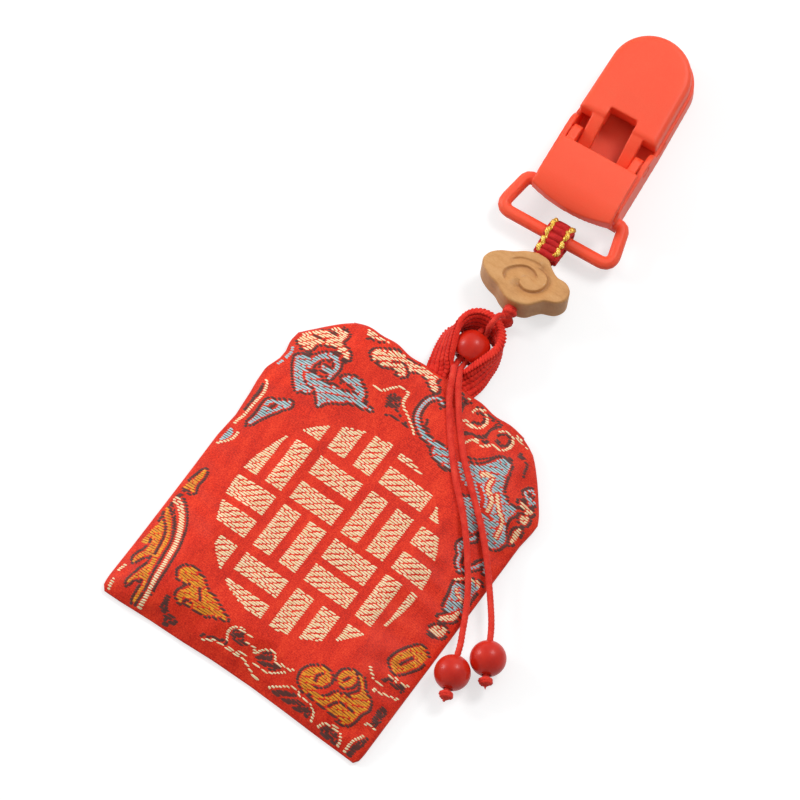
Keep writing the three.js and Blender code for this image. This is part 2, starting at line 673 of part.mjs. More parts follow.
function makeClipBase() {
  const earFront = JAW_SHOULDER - EAR_SETBACK;
  const plan = upright(jawPlan(CLIP_WIDTH / 2, CLIP_REAR, CLIP_TIP, TIP_ROUND), 0, EAR_HEIGHT, 12);
  const side = new THREE.Shape();
  side.moveTo(CLIP_REAR - 1, 0);
  side.lineTo(CLIP_TIP + 1, 0);
  side.lineTo(CLIP_TIP + 1, RIM_HEIGHT);
  side.lineTo(earFront, RIM_HEIGHT);
  side.quadraticCurveTo(earFront, EAR_HEIGHT, LEVER_PIVOT, EAR_HEIGHT);
  side.lineTo(CLIP_REAR + 2, EAR_HEIGHT);
  side.lineTo(CLIP_REAR - 1, EAR_HEIGHT - 2);
  const half = CLIP_WIDTH / 2;
  const inner = jawPlan(INNER_HALF, CLIP_REAR + CLIP_WALL, CLIP_TIP - CLIP_WALL, TIP_ROUND - CLIP_WALL);
  const channel = upright(inner, CLIP_FLOOR, EAR_HEIGHT + 1, 12);
  const openRear = block(
    [-ARM_OUTER, CLIP_REAR - 1, RIM_HEIGHT],
    [ARM_OUTER, CLIP_REAR + 3, EAR_HEIGHT + 1],
  );
  let base = plan.intersect(across(side, -half - 1, half + 1)).subtract(channel).subtract(openRear);
  const gripRear = CLIP_TIP - TIP_ROUND - GRIP_LENGTH + 2 * TOOTH_PITCH;
  const grip = upright(inner, CLIP_FLOOR - 0.2, GRIP_BOTTOM, 12);
  const gripTeeth = teeth(INNER_HALF - 1, GRIP_BOTTOM, TOOTH_HEIGHT, 0);
  const front = block([-half, gripRear, 0], [half, CLIP_TIP, EAR_HEIGHT]);
  base = base.add(grip.intersect(front)).add(gripTeeth.intersect(upright(inner, 0, EAR_HEIGHT, 12)));
  base = base.add(loopRod().subtract(channel));
  const slotStart = JAW_SHOULDER + 0.4;
  for (const sign of [-1, 1]) {
    const reach = (from, to) => [Math.min(sign * from, sign * to), Math.max(sign * from, sign * to)];
    const ear = reach(INNER_HALF - 1, half + 1);
    base = base.subtract(pin(...ear, LEVER_PIVOT, LEVER_PIVOT_HEIGHT, TRUNNION_DIAMETER / 2 + GAP));
    const socket = reach(INNER_HALF - 1, half - CLIP_WALL / 3);
    base = base.subtract(pin(...socket, JAW_PIVOT, JAW_PIVOT_HEIGHT, JAW_TRUNNION / 2 + GAP));
    const low = [ear[0], slotStart, RIM_HEIGHT - 1.4 * SLOT_HEIGHT];
    const high = [ear[1], slotStart + SLOT_LENGTH, RIM_HEIGHT - 0.4 * SLOT_HEIGHT];
    base = base.subtract(block(low, high));
  }
  add(clip, "clip_base", geometryOf(base), plastic);
}

// Front jaw: a crowned shell with a toothed grip, a window and two arms that reach back to its
// trunnions under the lever.
function makeFrontJaw() {
  const half = JAW_WIDTH / 2;
  const tip = CLIP_TIP - GAP;
  const bevel = {
    depth: JAW_HEIGHT - JAW_ROUNDING,
    bevelThickness: JAW_ROUNDING,
    bevelSize: JAW_ROUNDING,
    bevelSegments: 3,
    curveSegments: 12,
  };
  const plan = jawPlan(
    half - JAW_ROUNDING,
    JAW_SHOULDER + JAW_ROUNDING,
    tip - JAW_ROUNDING,
    TIP_ROUND - JAW_ROUNDING,
  );
  const crowned = solid(new THREE.ExtrudeGeometry(plan, bevel).translate(0, 0, JAW_BOTTOM));
  const keep = block([-half, JAW_SHOULDER, JAW_BOTTOM], [half, CLIP_TIP, JAW_TOP + 1]);
  const gripRear = CLIP_TIP - TIP_ROUND - GRIP_LENGTH + 2 * TOOTH_PITCH;
  const hollow = block(
    [JAW_WALL - half, JAW_SHOULDER + WINDOW_DEPTH + JAW_WALL, JAW_BOTTOM - 1],
    [half - JAW_WALL, gripRear, JAW_TOP - JAW_WALL],
  );
  const window = block(
    [-ARM_INNER, JAW_SHOULDER - 1, JAW_BOTTOM - 1],
    [ARM_INNER, JAW_SHOULDER + WINDOW_DEPTH, JAW_TOP + 1],
  );
  const gripTeeth = teeth(INNER_HALF - 2, JAW_BOTTOM, -TOOTH_HEIGHT, 0.5);
  let jaw = crowned.intersect(keep).subtract(hollow).add(gripTeeth).subtract(window);
  for (const sign of [-1, 1]) {
    const from = sign > 0 ? ARM_INNER : -ARM_OUTER;
    jaw = jaw.add(across(armProfile(), from, from + ARM_WIDTH));
    const outer = CLIP_WIDTH / 2 - CLIP_WALL / 3 - GAP;
    const inner = ARM_INNER + ARM_WIDTH / 2;
    const [low, high] = sign > 0 ? [inner, outer] : [-outer, -inner];
    jaw = jaw.add(pin(low, high, JAW_PIVOT, JAW_PIVOT_HEIGHT, JAW_TRUNNION / 2, 16));
  }
  add(clip, "clip_front_jaw", geometryOf(jaw), plastic);
}

// Side view of an arm: from the jaw's top it drops in a long bend to pass under the lever's cam.
function armProfile() {
  const top = LEVER_PIVOT_HEIGHT - CAM_RADIUS - GAP;
  const low = top - ARM_DEPTH;
  const cam = LEVER_PIVOT - CAM_ARM;
  const shape = new THREE.Shape();
  shape.moveTo(JAW_PIVOT, JAW_PIVOT_HEIGHT - ARM_DEPTH / 2);
  shape.lineTo(cam + 1.2, low);
  const seat = JAW_SHOULDER + 1.4;
  shape.bezierCurveTo(cam + 4, low + 0.4, JAW_SHOULDER - 3, JAW_TOP - 3.6, seat, JAW_TOP - 3);
  shape.lineTo(seat, JAW_TOP - 0.5);
  shape.bezierCurveTo(JAW_SHOULDER - 2, JAW_TOP - 0.6, cam + 4, top + 1, cam + 1, top);
  shape.lineTo(JAW_PIVOT, JAW_PIVOT_HEIGHT + ARM_DEPTH / 2);
  shape.absarc(JAW_PIVOT, JAW_PIVOT_HEIGHT, ARM_DEPTH / 2, Math.PI / 2, 1.5 * Math.PI, false);
  return shape;
}

// Lever: a bowed flap with a finger lip, two lugs on trunnions in the ears, and the cam between
// the lugs that holds the jaw's arms down.
function makeLever() {
  const top = FLAP_UNDER + FLAP_THICKNESS;
  const half = FLAP_WIDTH / 2;
  const frontHalf = half - 0.3;
  const plan = new THREE.Shape();
  plan.moveTo(-half, FLAP_REAR + FLAP_BOW);
  plan.quadraticCurveTo(0, FLAP_REAR - FLAP_BOW, half, FLAP_REAR + FLAP_BOW);
  plan.lineTo(frontHalf, FLAP_FRONT);
  plan.lineTo(-frontHalf, FLAP_FRONT);
  const side = new THREE.Shape();
  side.moveTo(FLAP_FRONT, FLAP_UNDER);
  side.lineTo(FLAP_FRONT, top - 0.5);
  side.quadraticCurveTo(FLAP_FRONT - 3, top, FLAP_FRONT - 6, top);
  side.lineTo(FLAP_REAR + 5, top);
  side.quadraticCurveTo(FLAP_REAR, top - 0.3, FLAP_REAR - 1, FLAP_UNDER - FLAP_LIP + 1);
  side.lineTo(FLAP_REAR - 1, FLAP_UNDER - FLAP_LIP);
  side.lineTo(FLAP_REAR + 2.2, FLAP_UNDER - FLAP_LIP);
  side.quadraticCurveTo(FLAP_REAR + 2.6, FLAP_UNDER, FLAP_REAR + 5, FLAP_UNDER);
  let lever = upright(plan, 0, top + 1, 10).intersect(across(side, -half - 1, half + 1));
  const lug = new THREE.Shape();
  lug.moveTo(FLAP_FRONT - 3, FLAP_UNDER + 0.5);
  lug.lineTo(LEVER_PIVOT - CAM_ARM - CAM_RADIUS, LEVER_PIVOT_HEIGHT);
  lug.absarc(LEVER_PIVOT - CAM_ARM, LEVER_PIVOT_HEIGHT, CAM_RADIUS, Math.PI, 1.5 * Math.PI, false);
  lug.lineTo(LEVER_PIVOT, LEVER_PIVOT_HEIGHT - LUG_RADIUS);
  lug.absarc(LEVER_PIVOT, LEVER_PIVOT_HEIGHT, LUG_RADIUS, 1.5 * Math.PI, 0.5 * Math.PI, false);
  lug.lineTo(FLAP_FRONT, FLAP_UNDER + 0.5);
  for (const sign of [-1, 1]) {
    const from = sign > 0 ? LUG_OUTER - LUG_WIDTH : -LUG_OUTER;
    lever = lever.add(across(lug, from, from + LUG_WIDTH));
    const pinFrom = sign > 0 ? LUG_OUTER - LUG_WIDTH / 2 : SMALL - CLIP_WIDTH / 2;
    const pinTo = sign > 0 ? CLIP_WIDTH / 2 - SMALL : LUG_WIDTH / 2 - LUG_OUTER;
    lever = lever.add(pin(pinFrom, pinTo, LEVER_PIVOT, LEVER_PIVOT_HEIGHT, TRUNNION_DIAMETER / 2));
  }
  const camHalf = LUG_OUTER - LUG_WIDTH / 2;
  const cam = pin(-camHalf, camHalf, LEVER_PIVOT - CAM_ARM, LEVER_PIVOT_HEIGHT, CAM_RADIUS, 16);
  add(clip, "clip_lever", geometryOf(lever.add(cam)), plastic);
}

makePouch();
makeTape();
makeCord();
makeHanger();
makeClipBase();
makeFrontJaw();
makeLever();

export default part;
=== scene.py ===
"""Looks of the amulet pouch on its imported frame: brocade, braids, beads, wood and plastic.

Lengths are millimetres in the shared frame; piece() turns them into metres.
"""
import math

import bpy
import numpy as np
from mathutils import Matrix, Vector


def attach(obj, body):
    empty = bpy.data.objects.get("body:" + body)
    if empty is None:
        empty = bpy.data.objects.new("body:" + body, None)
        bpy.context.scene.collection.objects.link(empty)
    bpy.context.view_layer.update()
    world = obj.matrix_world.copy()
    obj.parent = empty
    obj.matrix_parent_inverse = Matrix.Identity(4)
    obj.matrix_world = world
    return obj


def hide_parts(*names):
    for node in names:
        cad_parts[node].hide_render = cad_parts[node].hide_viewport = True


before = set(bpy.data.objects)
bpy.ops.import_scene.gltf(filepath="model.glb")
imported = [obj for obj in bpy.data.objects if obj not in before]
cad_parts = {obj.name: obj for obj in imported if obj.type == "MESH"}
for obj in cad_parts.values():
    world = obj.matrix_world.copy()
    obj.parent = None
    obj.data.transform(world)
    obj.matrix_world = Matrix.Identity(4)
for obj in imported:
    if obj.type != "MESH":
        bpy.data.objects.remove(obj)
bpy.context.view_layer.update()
scene = bpy.context.scene
scene.view_settings.view_transform = "Standard"

MM = 0.001
MOUTH = 40.0
FOLD = -40.0
POUCH_HALF = 33.0
RIM = 1.9
TOP = 5.55
FOLD_RIM = 0.9
FOLD_ROLL = 13.0
EDGE_ROLL = 14.0
CORD_RADIUS = 0.75
PLAIT_DEPTH = 0.2
BEAD_RADIUS = 4.0
TAPE_WIDTH = 6.5
TAPE_THICKNESS = 1.8

# Camera: the photograph's angle, with 4.63 pixels to the millimetre in an 800 pixel frame. It looks at
# PICTURE_MIDDLE, millimetres to the right and up in the picture.
AZIMUTH = math.radians(36.1)
ELEVATION = math.radians(72.0)
DISTANCE = 3.0
SENSOR = 36
LENS = 625
PICTURE_MIDDLE = (13.67, 28.1)
SCREEN_RIGHT = Vector((math.cos(AZIMUTH), math.sin(AZIMUTH), 0))
SCREEN_BACK = Vector(
    (
        math.sin(AZIMUTH) * math.cos(ELEVATION),
        -math.cos(AZIMUTH) * math.cos(ELEVATION),
        math.sin(ELEVATION),
    )
)
SCREEN_UP = SCREEN_BACK.cross(SCREEN_RIGHT)


def make_camera():
    """A long lens far away, so that the picture is nearly without perspective."""
    target = (PICTURE_MIDDLE[0] * SCREEN_RIGHT + PICTURE_MIDDLE[1] * SCREEN_UP) * MM
    camera = bpy.data.objects.new("camera", bpy.data.cameras.new("camera"))
    camera.data.sensor_width = SENSOR
    camera.data.lens = LENS
    camera.data.clip_start = 0.05
    turn = Matrix((SCREEN_RIGHT, SCREEN_UP, SCREEN_BACK)).transposed().to_4x4()
    camera.matrix_world = Matrix.Translation(target + DISTANCE * SCREEN_BACK) @ turn
    scene.collection.objects.link(camera)
    scene.camera = camera


# Lines, tubes and meshes


def smooth_line(points, per_span=10):
    """A centripetal Catmull-Rom line through the points."""
    points = np.asarray(points, float)
    ends = (2 * points[0] - points[1], 2 * points[-1] - points[-2])
    held = np.vstack([ends[0], points, ends[1]])
    knots = np.concatenate([[0], np.cumsum(np.linalg.norm(np.diff(held, axis=0), axis=1) ** 0.5)])
    line = []
    for i in range(1, len(held) - 2):
        p, k = held[i - 1 : i + 3], knots[i - 1 : i + 3]
        t = np.linspace(k[1], k[2], per_span, endpoint=False)[:, None]
        a = [((k[j + 1] - t) * p[j] + (t - k[j]) * p[j + 1]) / (k[j + 1] - k[j]) for j in range(3)]
        b = [((k[j + 2] - t) * a[j] + (t - k[j]) * a[j + 1]) / (k[j + 2] - k[j]) for j in range(2)]
        line.append(((k[2] - t) * b[0] + (t - k[1]) * b[1]) / (k[2] - k[1]))
    return np.vstack(line + [points[-1:]])


def lengths_along(line):
    """How far along the line each of its points lies."""
    return np.concatenate([[0], np.cumsum(np.linalg.norm(np.diff(line, axis=0), axis=1))])


def even_line(line, step):
    """The same line with its points about one step apart."""
    run = lengths_along(line)
    places = np.linspace(0, run[-1], max(2, int(round(run[-1] / step)) + 1))
    return np.stack([np.interp(places, run, line[:, i]) for i in range(line.shape[1])], axis=1)


def unit(vectors):
    """Vectors of length one."""
    return vectors / np.maximum(np.linalg.norm(vectors, axis=-1, keepdims=True), 1e-12)


def frames_along(line):
    """Two sideways directions at each point, which turn no more than the line does."""
    tangents = unit(np.gradient(line, axis=0))
    side = np.cross(tangents[0], (0.31, 0.17, 0.93))
    sides = []
    for tangent in tangents:
        side = unit(side - np.dot(side, tangent) * tangent)
        sides.append(side)
    sides = np.array(sides)
    return sides, np.cross(tangents, sides)


def angles_round(sides):
    """Even angles round a circle."""
    return np.linspace(0, 2 * math.pi, sides, endpoint=False)


def tube(line, radii, sides=12):
    """A closed tube; radii is one number, one for each point, or one for each point and side."""
    line = np.asarray(line, float)
    count = len(line)
    across, up = frames_along(line)
    radii = np.asarray(radii, float)
    radii = np.broadcast_to(radii.reshape(radii.shape + (1,) * (2 - radii.ndim)), (count, sides))
    angles = angles_round(sides)
    ring = np.cos(angles)[None, :, None] * across[:, None] + np.sin(angles)[None, :, None] * up[:, None]
    points = (line[:, None] + radii[:, :, None] * ring).reshape(-1, 3)
    return points, tube_faces(count, sides)


def grid_faces(rows, columns, wrap=False, start=0):
    """Squares between rows of points; with wrap, each row closes on itself."""
    faces = []
    for i in range(rows - 1):
        for j in range(columns if wrap else columns - 1):
            k = (j + 1) % columns
            a, b = start + i * columns, start + (i + 1) * columns
            faces.append([a + j, a + k, b + k, b + j])
    return faces


def tube_faces(rows, sides, start=0):
    """The faces of a row of rings, closed at both ends."""
    first = [start + i for i in range(sides)]
    last = [start + (rows - 1) * sides + i for i in range(sides)]
    return grid_faces(rows, sides, wrap=True, start=start) + [first[::-1], last]


def turned(faces):
    """Faces that look the other way."""
    return [face[::-1] for face in faces]


def joined(parts):
    """Several shapes as one."""
    points, faces, start = [], [], 0
    for part_points, part_faces in parts:
        points.append(part_points)
        faces.extend([[start + i for i in face] for face in part_faces])
        start += len(part_points)
    return np.vstack(points), faces


def braided(line, radius, plaits=3, pitch=1.8, sides=24):
    """A round plaited cord: a tube whose skin rises where its strands cross over."""
    line = even_line(np.asarray(line, float), 0.2)
    run = lengths_along(line)[:, None]
    angles = angles_round(sides)[None, :]
    turn = 2 * math.pi * run / pitch
    strand = np.sin(plaits * angles + turn) * np.sin(plaits * angles - turn)
    relief = np.abs(strand) ** 0.6
    return tube(line, radius * (1 - PLAIT_DEPTH + PLAIT_DEPTH * relief), sides)


def piece(name, shape, material, body, replaces=()):
    """A smooth mesh that rides a body and stands for some of the solids."""
    points, faces = shape
    mesh = bpy.data.meshes.new(name)
    mesh.from_pydata((np.asarray(points) * MM).tolist(), [], faces)
    mesh.polygons.foreach_set("use_smooth", [True] * len(mesh.polygons))
    mesh.materials.append(material)
    mesh.update()
    obj = bpy.data.objects.new(name, mesh)
    scene.collection.objects.link(obj)
    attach(obj, body)
    if replaces:
        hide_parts(*replaces)
    return obj


def dress(name, material):
    """Gives a solid that stays its material."""
    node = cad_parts[name]
    node.data.materials.clear()
    node.data.materials.append(material)
    return node


# Materials


def srgb(red, green, blue):
    """A linear colour from eight-bit display values."""
    values = []
    for value in (red, green, blue):
        v = value / 255
        values.append(v / 12.92 if v <= 0.04045 else ((v + 0.055) / 1.055) ** 2.4)
    return (*values, 1.0)


# The length of one band of the wave texture at a scale of one
WAVE_SCALE = 0.314159


class Nodes:
    """A node tree with a short way to add to it."""

    def __init__(self, owner):
        owner.use_nodes = True
        self.tree = owner.node_tree

    def node(self, kind, inputs=(), **settings):
        """A new node; an input is given as a value or as a socket to link."""
        made = self.tree.nodes.new(kind)
        for key, value in settings.items():
            setattr(made, key, value)
        for key, value in dict(inputs).items():
            if isinstance(value, bpy.types.NodeSocket):
                self.tree.links.new(value, made.inputs[key])
            else:
                made.inputs[key].default_value = value
        return made

    def math(self, operation, a, b):
        """One operation on two values or sockets."""
        return self.node("ShaderNodeMath", {0: a, 1: b}, operation=operation).outputs[0]


class Look(Nodes):
    """A material around one Principled shader."""

    def __init__(self, name, **sockets):
        self.material = bpy.data.materials.new(name)
        super().__init__(self.material)
        self.shader = self.tree.nodes["Principled BSDF"]
        for key, value in sockets.items():
            self.shader.inputs[key.replace("_", " ")].default_value = value
        self.place = self.node("ShaderNodeTexCoord").outputs["Object"]

    def noise(self, size, detail=3.0, stretch=(1, 1, 1), rough=0.55):
        """Cloudy noise with features of about this size in millimetres."""
        place = self.node("ShaderNodeMapping", {"Vector": self.place, "Scale": stretch}).outputs[0]
        inputs = {"Vector": place, "Scale": 1 / (size * MM), "Detail": detail, "Roughness": rough}
        return self.node("ShaderNodeTexNoise", inputs).outputs["Fac"]

    def bands(self, pitch, direction, warp=0.0):
        """Even bands, one in each pitch millimetres."""
        scale = WAVE_SCALE / (pitch * MM)
        inputs = {"Vector": self.place, "Scale": scale, "Distortion": warp, "Detail": 2.0}
        made = self.node("ShaderNodeTexWave", inputs, wave_type="BANDS", bands_direction=direction)
        return made.outputs["Fac"]

    def weighted(self, *parts):
        """A sum of textures, each with its share."""
        total = None
        for socket, share in parts:
            part = self.math("MULTIPLY", socket, share)
            total = part if total is None else self.math("ADD", total, part)
        return total

    def ramp(self, factor, *stops):
        """Colours along a factor; each stop is a place and eight-bit display values."""
        made = self.node("ShaderNodeValToRGB", {"Fac": factor})
        while len(made.color_ramp.elements) < len(stops):
            made.color_ramp.elements.new(0.5)
        for element, (position, colour) in zip(made.color_ramp.elements, stops):
            element.position = position
            element.color = srgb(*colour)
        return made.outputs["Color"]

    def mix(self, factor, a, b):
        """Two colours mixed by a factor."""
        return self.node("ShaderNodeMix", {"Factor": factor, 6: a, 7: b}, data_type="RGBA").outputs[2]

    def colour(self, socket):
        """Sets the base colour."""
        self.tree.links.new(socket, self.shader.inputs["Base Color"])

    def rough(self, factor, low, high):
        """Sets the roughness, from low to high along a factor."""
        made = self.node("ShaderNodeMapRange", {"Value": factor, "To Min": low, "To Max": high})
        self.tree.links.new(made.outputs["Result"], self.shader.inputs["Roughness"])

    def bump(self, height, depth, strength):
        """Relief of about this depth in millimetres."""
        inputs = {"Height": height, "Distance": depth * MM, "Strength": strength}
        before = self.shader.inputs["Normal"]
        if before.is_linked:
            inputs["Normal"] = before.links[0].from_socket
        made = self.node("ShaderNodeBump", inputs)
        self.tree.links.new(made.outputs["Normal"], before)


def satin_look():
    """Red warp satin: fine ribs, a soft sheen and slight streaks of dye."""
    look = Look("brocade_ground", Sheen_Weight=0.06, Sheen_Roughness=0.4, Specular_IOR_Level=0.22)
    ribs = look.bands(0.32, "X")
    picks = look.bands(0.42, "Y", warp=1.5)
    weave = look.math("MULTIPLY", ribs, picks)
    streak = look.noise(2.5, 4, (1, 0.35, 1))
    speck = look.noise(0.3, 2)
    tone = look.weighted((speck, 0.62), (streak, 0.38))
    base = look.ramp(tone, (0.34, (178, 22, 8)), (0.5, (222, 42, 18)), (0.66, (246, 70, 36)))
    look.colour(look.mix(look.math("MULTIPLY", weave, 0.25), base, srgb(238, 70, 38)))
    look.rough(speck, 0.42, 0.62)
    look.bump(weave, 0.05, 0.6)
    look.bump(speck, 0.04, 0.5)
    return look.material


def grained_look(name, stops, grain, rough, bump, clouds=None, share=1.0, **sockets):
    """Fine grain gives gloss, relief and a share of the colour; clouds give the rest of the colour."""
    look = Look(name, **sockets)
    fine = tone = look.noise(*grain)
    if clouds:
        tone = look.weighted((look.noise(*clouds), 1 - share), (fine, share))
    look.colour(look.ramp(tone, *stops))
    look.rough(fine, *rough)
    look.bump(fine, *bump)
    return look.material


def thread_look(name, dark, light, sheen=0.2):
    """Silky pattern weft: thin lengthwise filaments and a little variation from float to float."""
    return grained_look(
        name,
        ((0.32, dark), (0.66, light)),
        grain=(0.14, 2, (0.12, 1, 1)),
        rough=(0.38, 0.6),
        bump=(0.03, 0.6),
        clouds=(1.3, 3),
        share=0.4,
        Sheen_Weight=sheen,
        Sheen_Roughness=0.35,
        Specular_IOR_Level=0.4,
    )


def fibre_look(name, dark, mid, light, fuzz):
    """Matt dyed cotton or rayon: fuzzy fine fibres over a slightly uneven colour."""
    return grained_look(
        name,
        ((0.3, dark), (0.5, mid), (0.7, light)),
        grain=(fuzz, 3),
        rough=(0.6, 0.85),
        bump=(0.05, 0.7),
        clouds=(1.6, 3),
        share=0.55,
        Sheen_Weight=0.1,
        Sheen_Roughness=0.5,
        Specular_IOR_Level=0.25,
    )


def wood_look():
    """Pale carved wood: fine pores and faint streaks, with painted shade that darkens it towards brown in
    the carved lines, the hollows and on the side wall.
    """
    look = Look("carved_wood", Specular_IOR_Level=0.3, Coat_Weight=0.04)
    streak = look.noise(1.4, 3, (0.3, 1, 1))
    pores = look.noise(0.34, 3, (0.6, 1, 0.12))
    patch = look.noise(6, 3)
    tone = look.weighted((streak, 0.35), (pores, 0.3), (patch, 0.35))
    base = look.ramp(tone, (0.3, (184, 126, 72)), (0.5, (205, 149, 91)), (0.7, (219, 167, 111)))
    # Painted shade: the cut attribute mixes in a dark brown where make_cloud marks carved lines, hollows
    # and the side wall.
    cut = look.node("ShaderNodeAttribute", attribute_name="cut").outputs["Fac"]
    look.colour(look.mix(cut, base, srgb(150, 92, 58)))
    look.rough(pores, 0.44, 0.62)
    look.bump(pores, 0.04, 0.4)
    return look.material


SATIN = satin_look()
THREADS = {
    "cream": thread_look("weft_cream", (234, 208, 150), (255, 244, 204)),
    "brown": thread_look("weft_brown", (58, 14, 8), (94, 36, 20), 0.05),
    "orange": thread_look("weft_orange", (214, 100, 2), (255, 180, 34)),
    "blue": thread_look("weft_blue", (128, 176, 184), (190, 224, 226)),
}
CORD = fibre_look("cord_red", (196, 28, 20), (228, 50, 34), (244, 82, 60), 0.2)
TAPE = fibre_look("tape_red", (194, 24, 14), (228, 40, 24), (246, 70, 46), 0.22)
TAPE_CORE = fibre_look("tape_core", (170, 20, 16), (200, 32, 26), (216, 46, 36), 0.25)
TAB = fibre_look("tab_red", (160, 16, 18), (198, 28, 28), (220, 50, 46), 0.22)
LINING = fibre_look("lining_red", (140, 30, 26), (172, 46, 40), (192, 64, 54), 0.5)

# Satin red beads: faint clouding, very fine scratches and a clear skin
BEAD = grained_look(
    "bead_satin",
    ((0.3, (196, 28, 12)), (0.7, (214, 42, 20))),
    grain=(0.25, 2),
    rough=(0.3, 0.46),
    bump=(0.012, 0.4),
    clouds=(2.4, 3),
    share=0.0,
    Coat_Weight=0.12,
    Coat_Roughness=0.16,
    Specular_IOR_Level=0.25,
)
WOOD = wood_look()

# Moulded coral plastic: light sinks in a little, under a fine spark-eroded grain
PLASTIC = grained_look(
    "moulded_plastic",
    ((0.3, (253, 79, 44)), (0.7, (255, 93, 58))),
    grain=(0.22, 3),
    rough=(0.42, 0.56),
    bump=(0.018, 0.3),
    clouds=(14, 2, (1, 0.5, 1)),
    share=0.6,
    Specular_IOR_Level=0.4,
    Subsurface_Weight=0.45,
    Subsurface_Scale=0.0024,
    Subsurface_Radius=(1.0, 0.22, 0.14),
)

# Gilt thread: metal foil wound on a core, with dull and bright turns
GOLD = grained_look(
    "gilt_thread",
    ((0.34, (176, 112, 12)), (0.5, (244, 194, 44)), (0.66, (255, 246, 160))),
    grain=(0.2, 2),
    rough=(0.2, 0.42),
    bump=(0.04, 0.6),
    Metallic=0.4,
    Specular_IOR_Level=0.6,
)

# Plain folded paper with short fibres
PAPER = grained_look(
    "folded_paper",
    ((0.35, (226, 214, 188)), (0.65, (244, 236, 216))),
    grain=(0.4, 4, (1, 0.4, 1)),
    rough=(0.75, 0.95),
    bump=(0.03, 0.5),
    Specular_IOR_Level=0.2,
)


# Cords: the same routes as the solids, measured from the middle of the mouth

STOPPER = np.array([0.05, 9.65 + MOUTH, 4.05])
STRAND_LEFT = -0.62
STRAND_RIGHT = 0.8
STRAND_END = 4.57
LOWER_KNOT = np.array([2.4, 19.05 + MOUTH, 3.8])
BEAD_FROM_ROUTE = 0.3
BEAD_LIFT = 0.05
KNOT_FROM_BEAD = 1.15
TAIL_BORE = 1.05
STOPPER_BORE = 1.95
BORE_LIP = 0.3
OVER_SLIM = 0.88
LOOSE_YARNS = 9
YARN_SPREAD = 0.28
YARN_LENGTH = (0.6, 0.85)

# Routes of the tails and of the strands in the neck
LEFT_TAIL = (
    (STRAND_LEFT, STRAND_END, 4.05), (-0.45, 3.75, 4.65), (0.02, 2.9, 6), (0.8, 1.6, 7.2),
    (1.85, -0.6, 7.25), (3.4, -3.4, 7.1), (6.1, -7, 6.9), (9, -10.6, 6.8), (12, -14, 6.8),
    (15.2, -17.3, 6.8), (18.6, -20.4, 6.8), (22, -23.6, 6.6), (25.7, -27.7, 6.1), (29, -31.8, 5.3),
    (31.8, -35.6, 4.5), (34.1, -39.5, 4), (36.2, -43.6, 4), (37.5, -46.2, 4), (38.3, -48.3, 4),
)
RIGHT_TAIL = (
    (STRAND_RIGHT, STRAND_END, 4.05), (0.95, 3.75, 4.65), (1.48, 2.9, 6), (2.35, 1.7, 7.2),
    (3.55, -0.3, 7.25), (5.45, -2.8, 7.1), (8.15, -6.2, 6.9), (11.2, -9.6, 6.8), (14.3, -12.8, 6.8),
    (17.7, -15.7, 6.8), (21.2, -18.6, 6.6), (24.8, -21.6, 6.25), (28.2, -24.7, 5.6),
    (31.3, -27.9, 4.8), (34.3, -31.3, 4.1), (37.1, -34.6, 3.9), (39.5, -37.6, 4),
    (40.9, -39.6, 4), (42, -41.5, 4),
)
OVER_STRAND = (
    (2.35, 19.3, 6.6), (1.7, 18.6, 7.7), (1.1, 17.7, 8.4), (1.1, 16.8, 8.6), (1.05, 15.95, 8.55),
    (1, 15.1, 8), (STRAND_RIGHT, 14.75, 7.1), (STRAND_RIGHT, 14.7, 6.2), (STRAND_RIGHT, 14.6, 5.3),
    (STRAND_RIGHT, 14.25, 4.5), (STRAND_RIGHT, 13.75, 4.05), (STRAND_RIGHT, 9.65, 4.05),
    (STRAND_RIGHT, STRAND_END, 4.05),
)
UNDER_STRAND = (
    (2.3, 19.1, 2.6), (2.1, 18.8, 1.7), (1.95, 18.5, 1.25), (1.6, 17.8, 0.9), (1.1, 16.8, 0.85),
    (0.5, 15.9, 0.85), (-0.1, 15.2, 1.5), (-0.6, 14.6, 2.9), (STRAND_LEFT, 13.75, 4.05),
    (STRAND_LEFT, 9.65, 4.05), (STRAND_LEFT, STRAND_END, 4.05),
)


def from_mouth(points):
    """Places measured from the middle of the mouth."""
    return np.asarray(points, float) + (0, MOUTH, 0)


def coil(centre, axis, radius, height, turns, thick):
    """A wrapped knot: cord wound round itself in a barrel, its ends tucked in."""
    axis = unit(np.asarray(axis, float))
    side = unit(np.cross(axis, (0.2, 0.3, 0.9)))
    other = np.cross(axis, side)
    share = np.linspace(0, 1, int(36 * turns))
    angle = 2 * math.pi * turns * share
    bulge = (radius - thick) * np.sin(math.pi * np.clip(share, 0.04, 0.96)) ** 0.35
    level = (share - 0.5) * (height - 2 * thick)
    line = (
        np.asarray(centre, float)
        + bulge[:, None] * (np.cos(angle)[:, None] * side + np.sin(angle)[:, None] * other)
        + level[:, None] * axis
    )
    return braided(line, thick, plaits=2, pitch=1.6, sides=16)


def lump(centre, radii, axis):
    """A round body of turning, for the inside of a knot."""
    share = np.linspace(0.02, 0.98, 14)
    axis = unit(np.asarray(axis, float))
    line = np.asarray(centre, float) - np.cos(math.pi * share)[:, None] * axis * radii[1]
    return tube(line, radii[0] * np.sin(math.pi * share), 20)


def knot(centre, axis, core, **winding):
    """A core with cord wound round it."""
    return [lump(centre, core, axis), coil(centre, axis, **winding)]


def frayed_tip(start, along, rng):
    """Short loose ends of yarn beyond a knot."""
    parts = []
    along = unit(np.asarray(along, float))
    for _ in range(LOOSE_YARNS):
        spread = rng.normal(0, YARN_SPREAD, 3)
        spread[2] *= 0.5
        middle = start + along * 0.35 + 0.5 * spread
        end = start + along * rng.uniform(*YARN_LENGTH) + spread
        parts.append(tube(smooth_line([start, middle, end], 4), np.linspace(0.2, 0.12, 9), 6))
    return parts


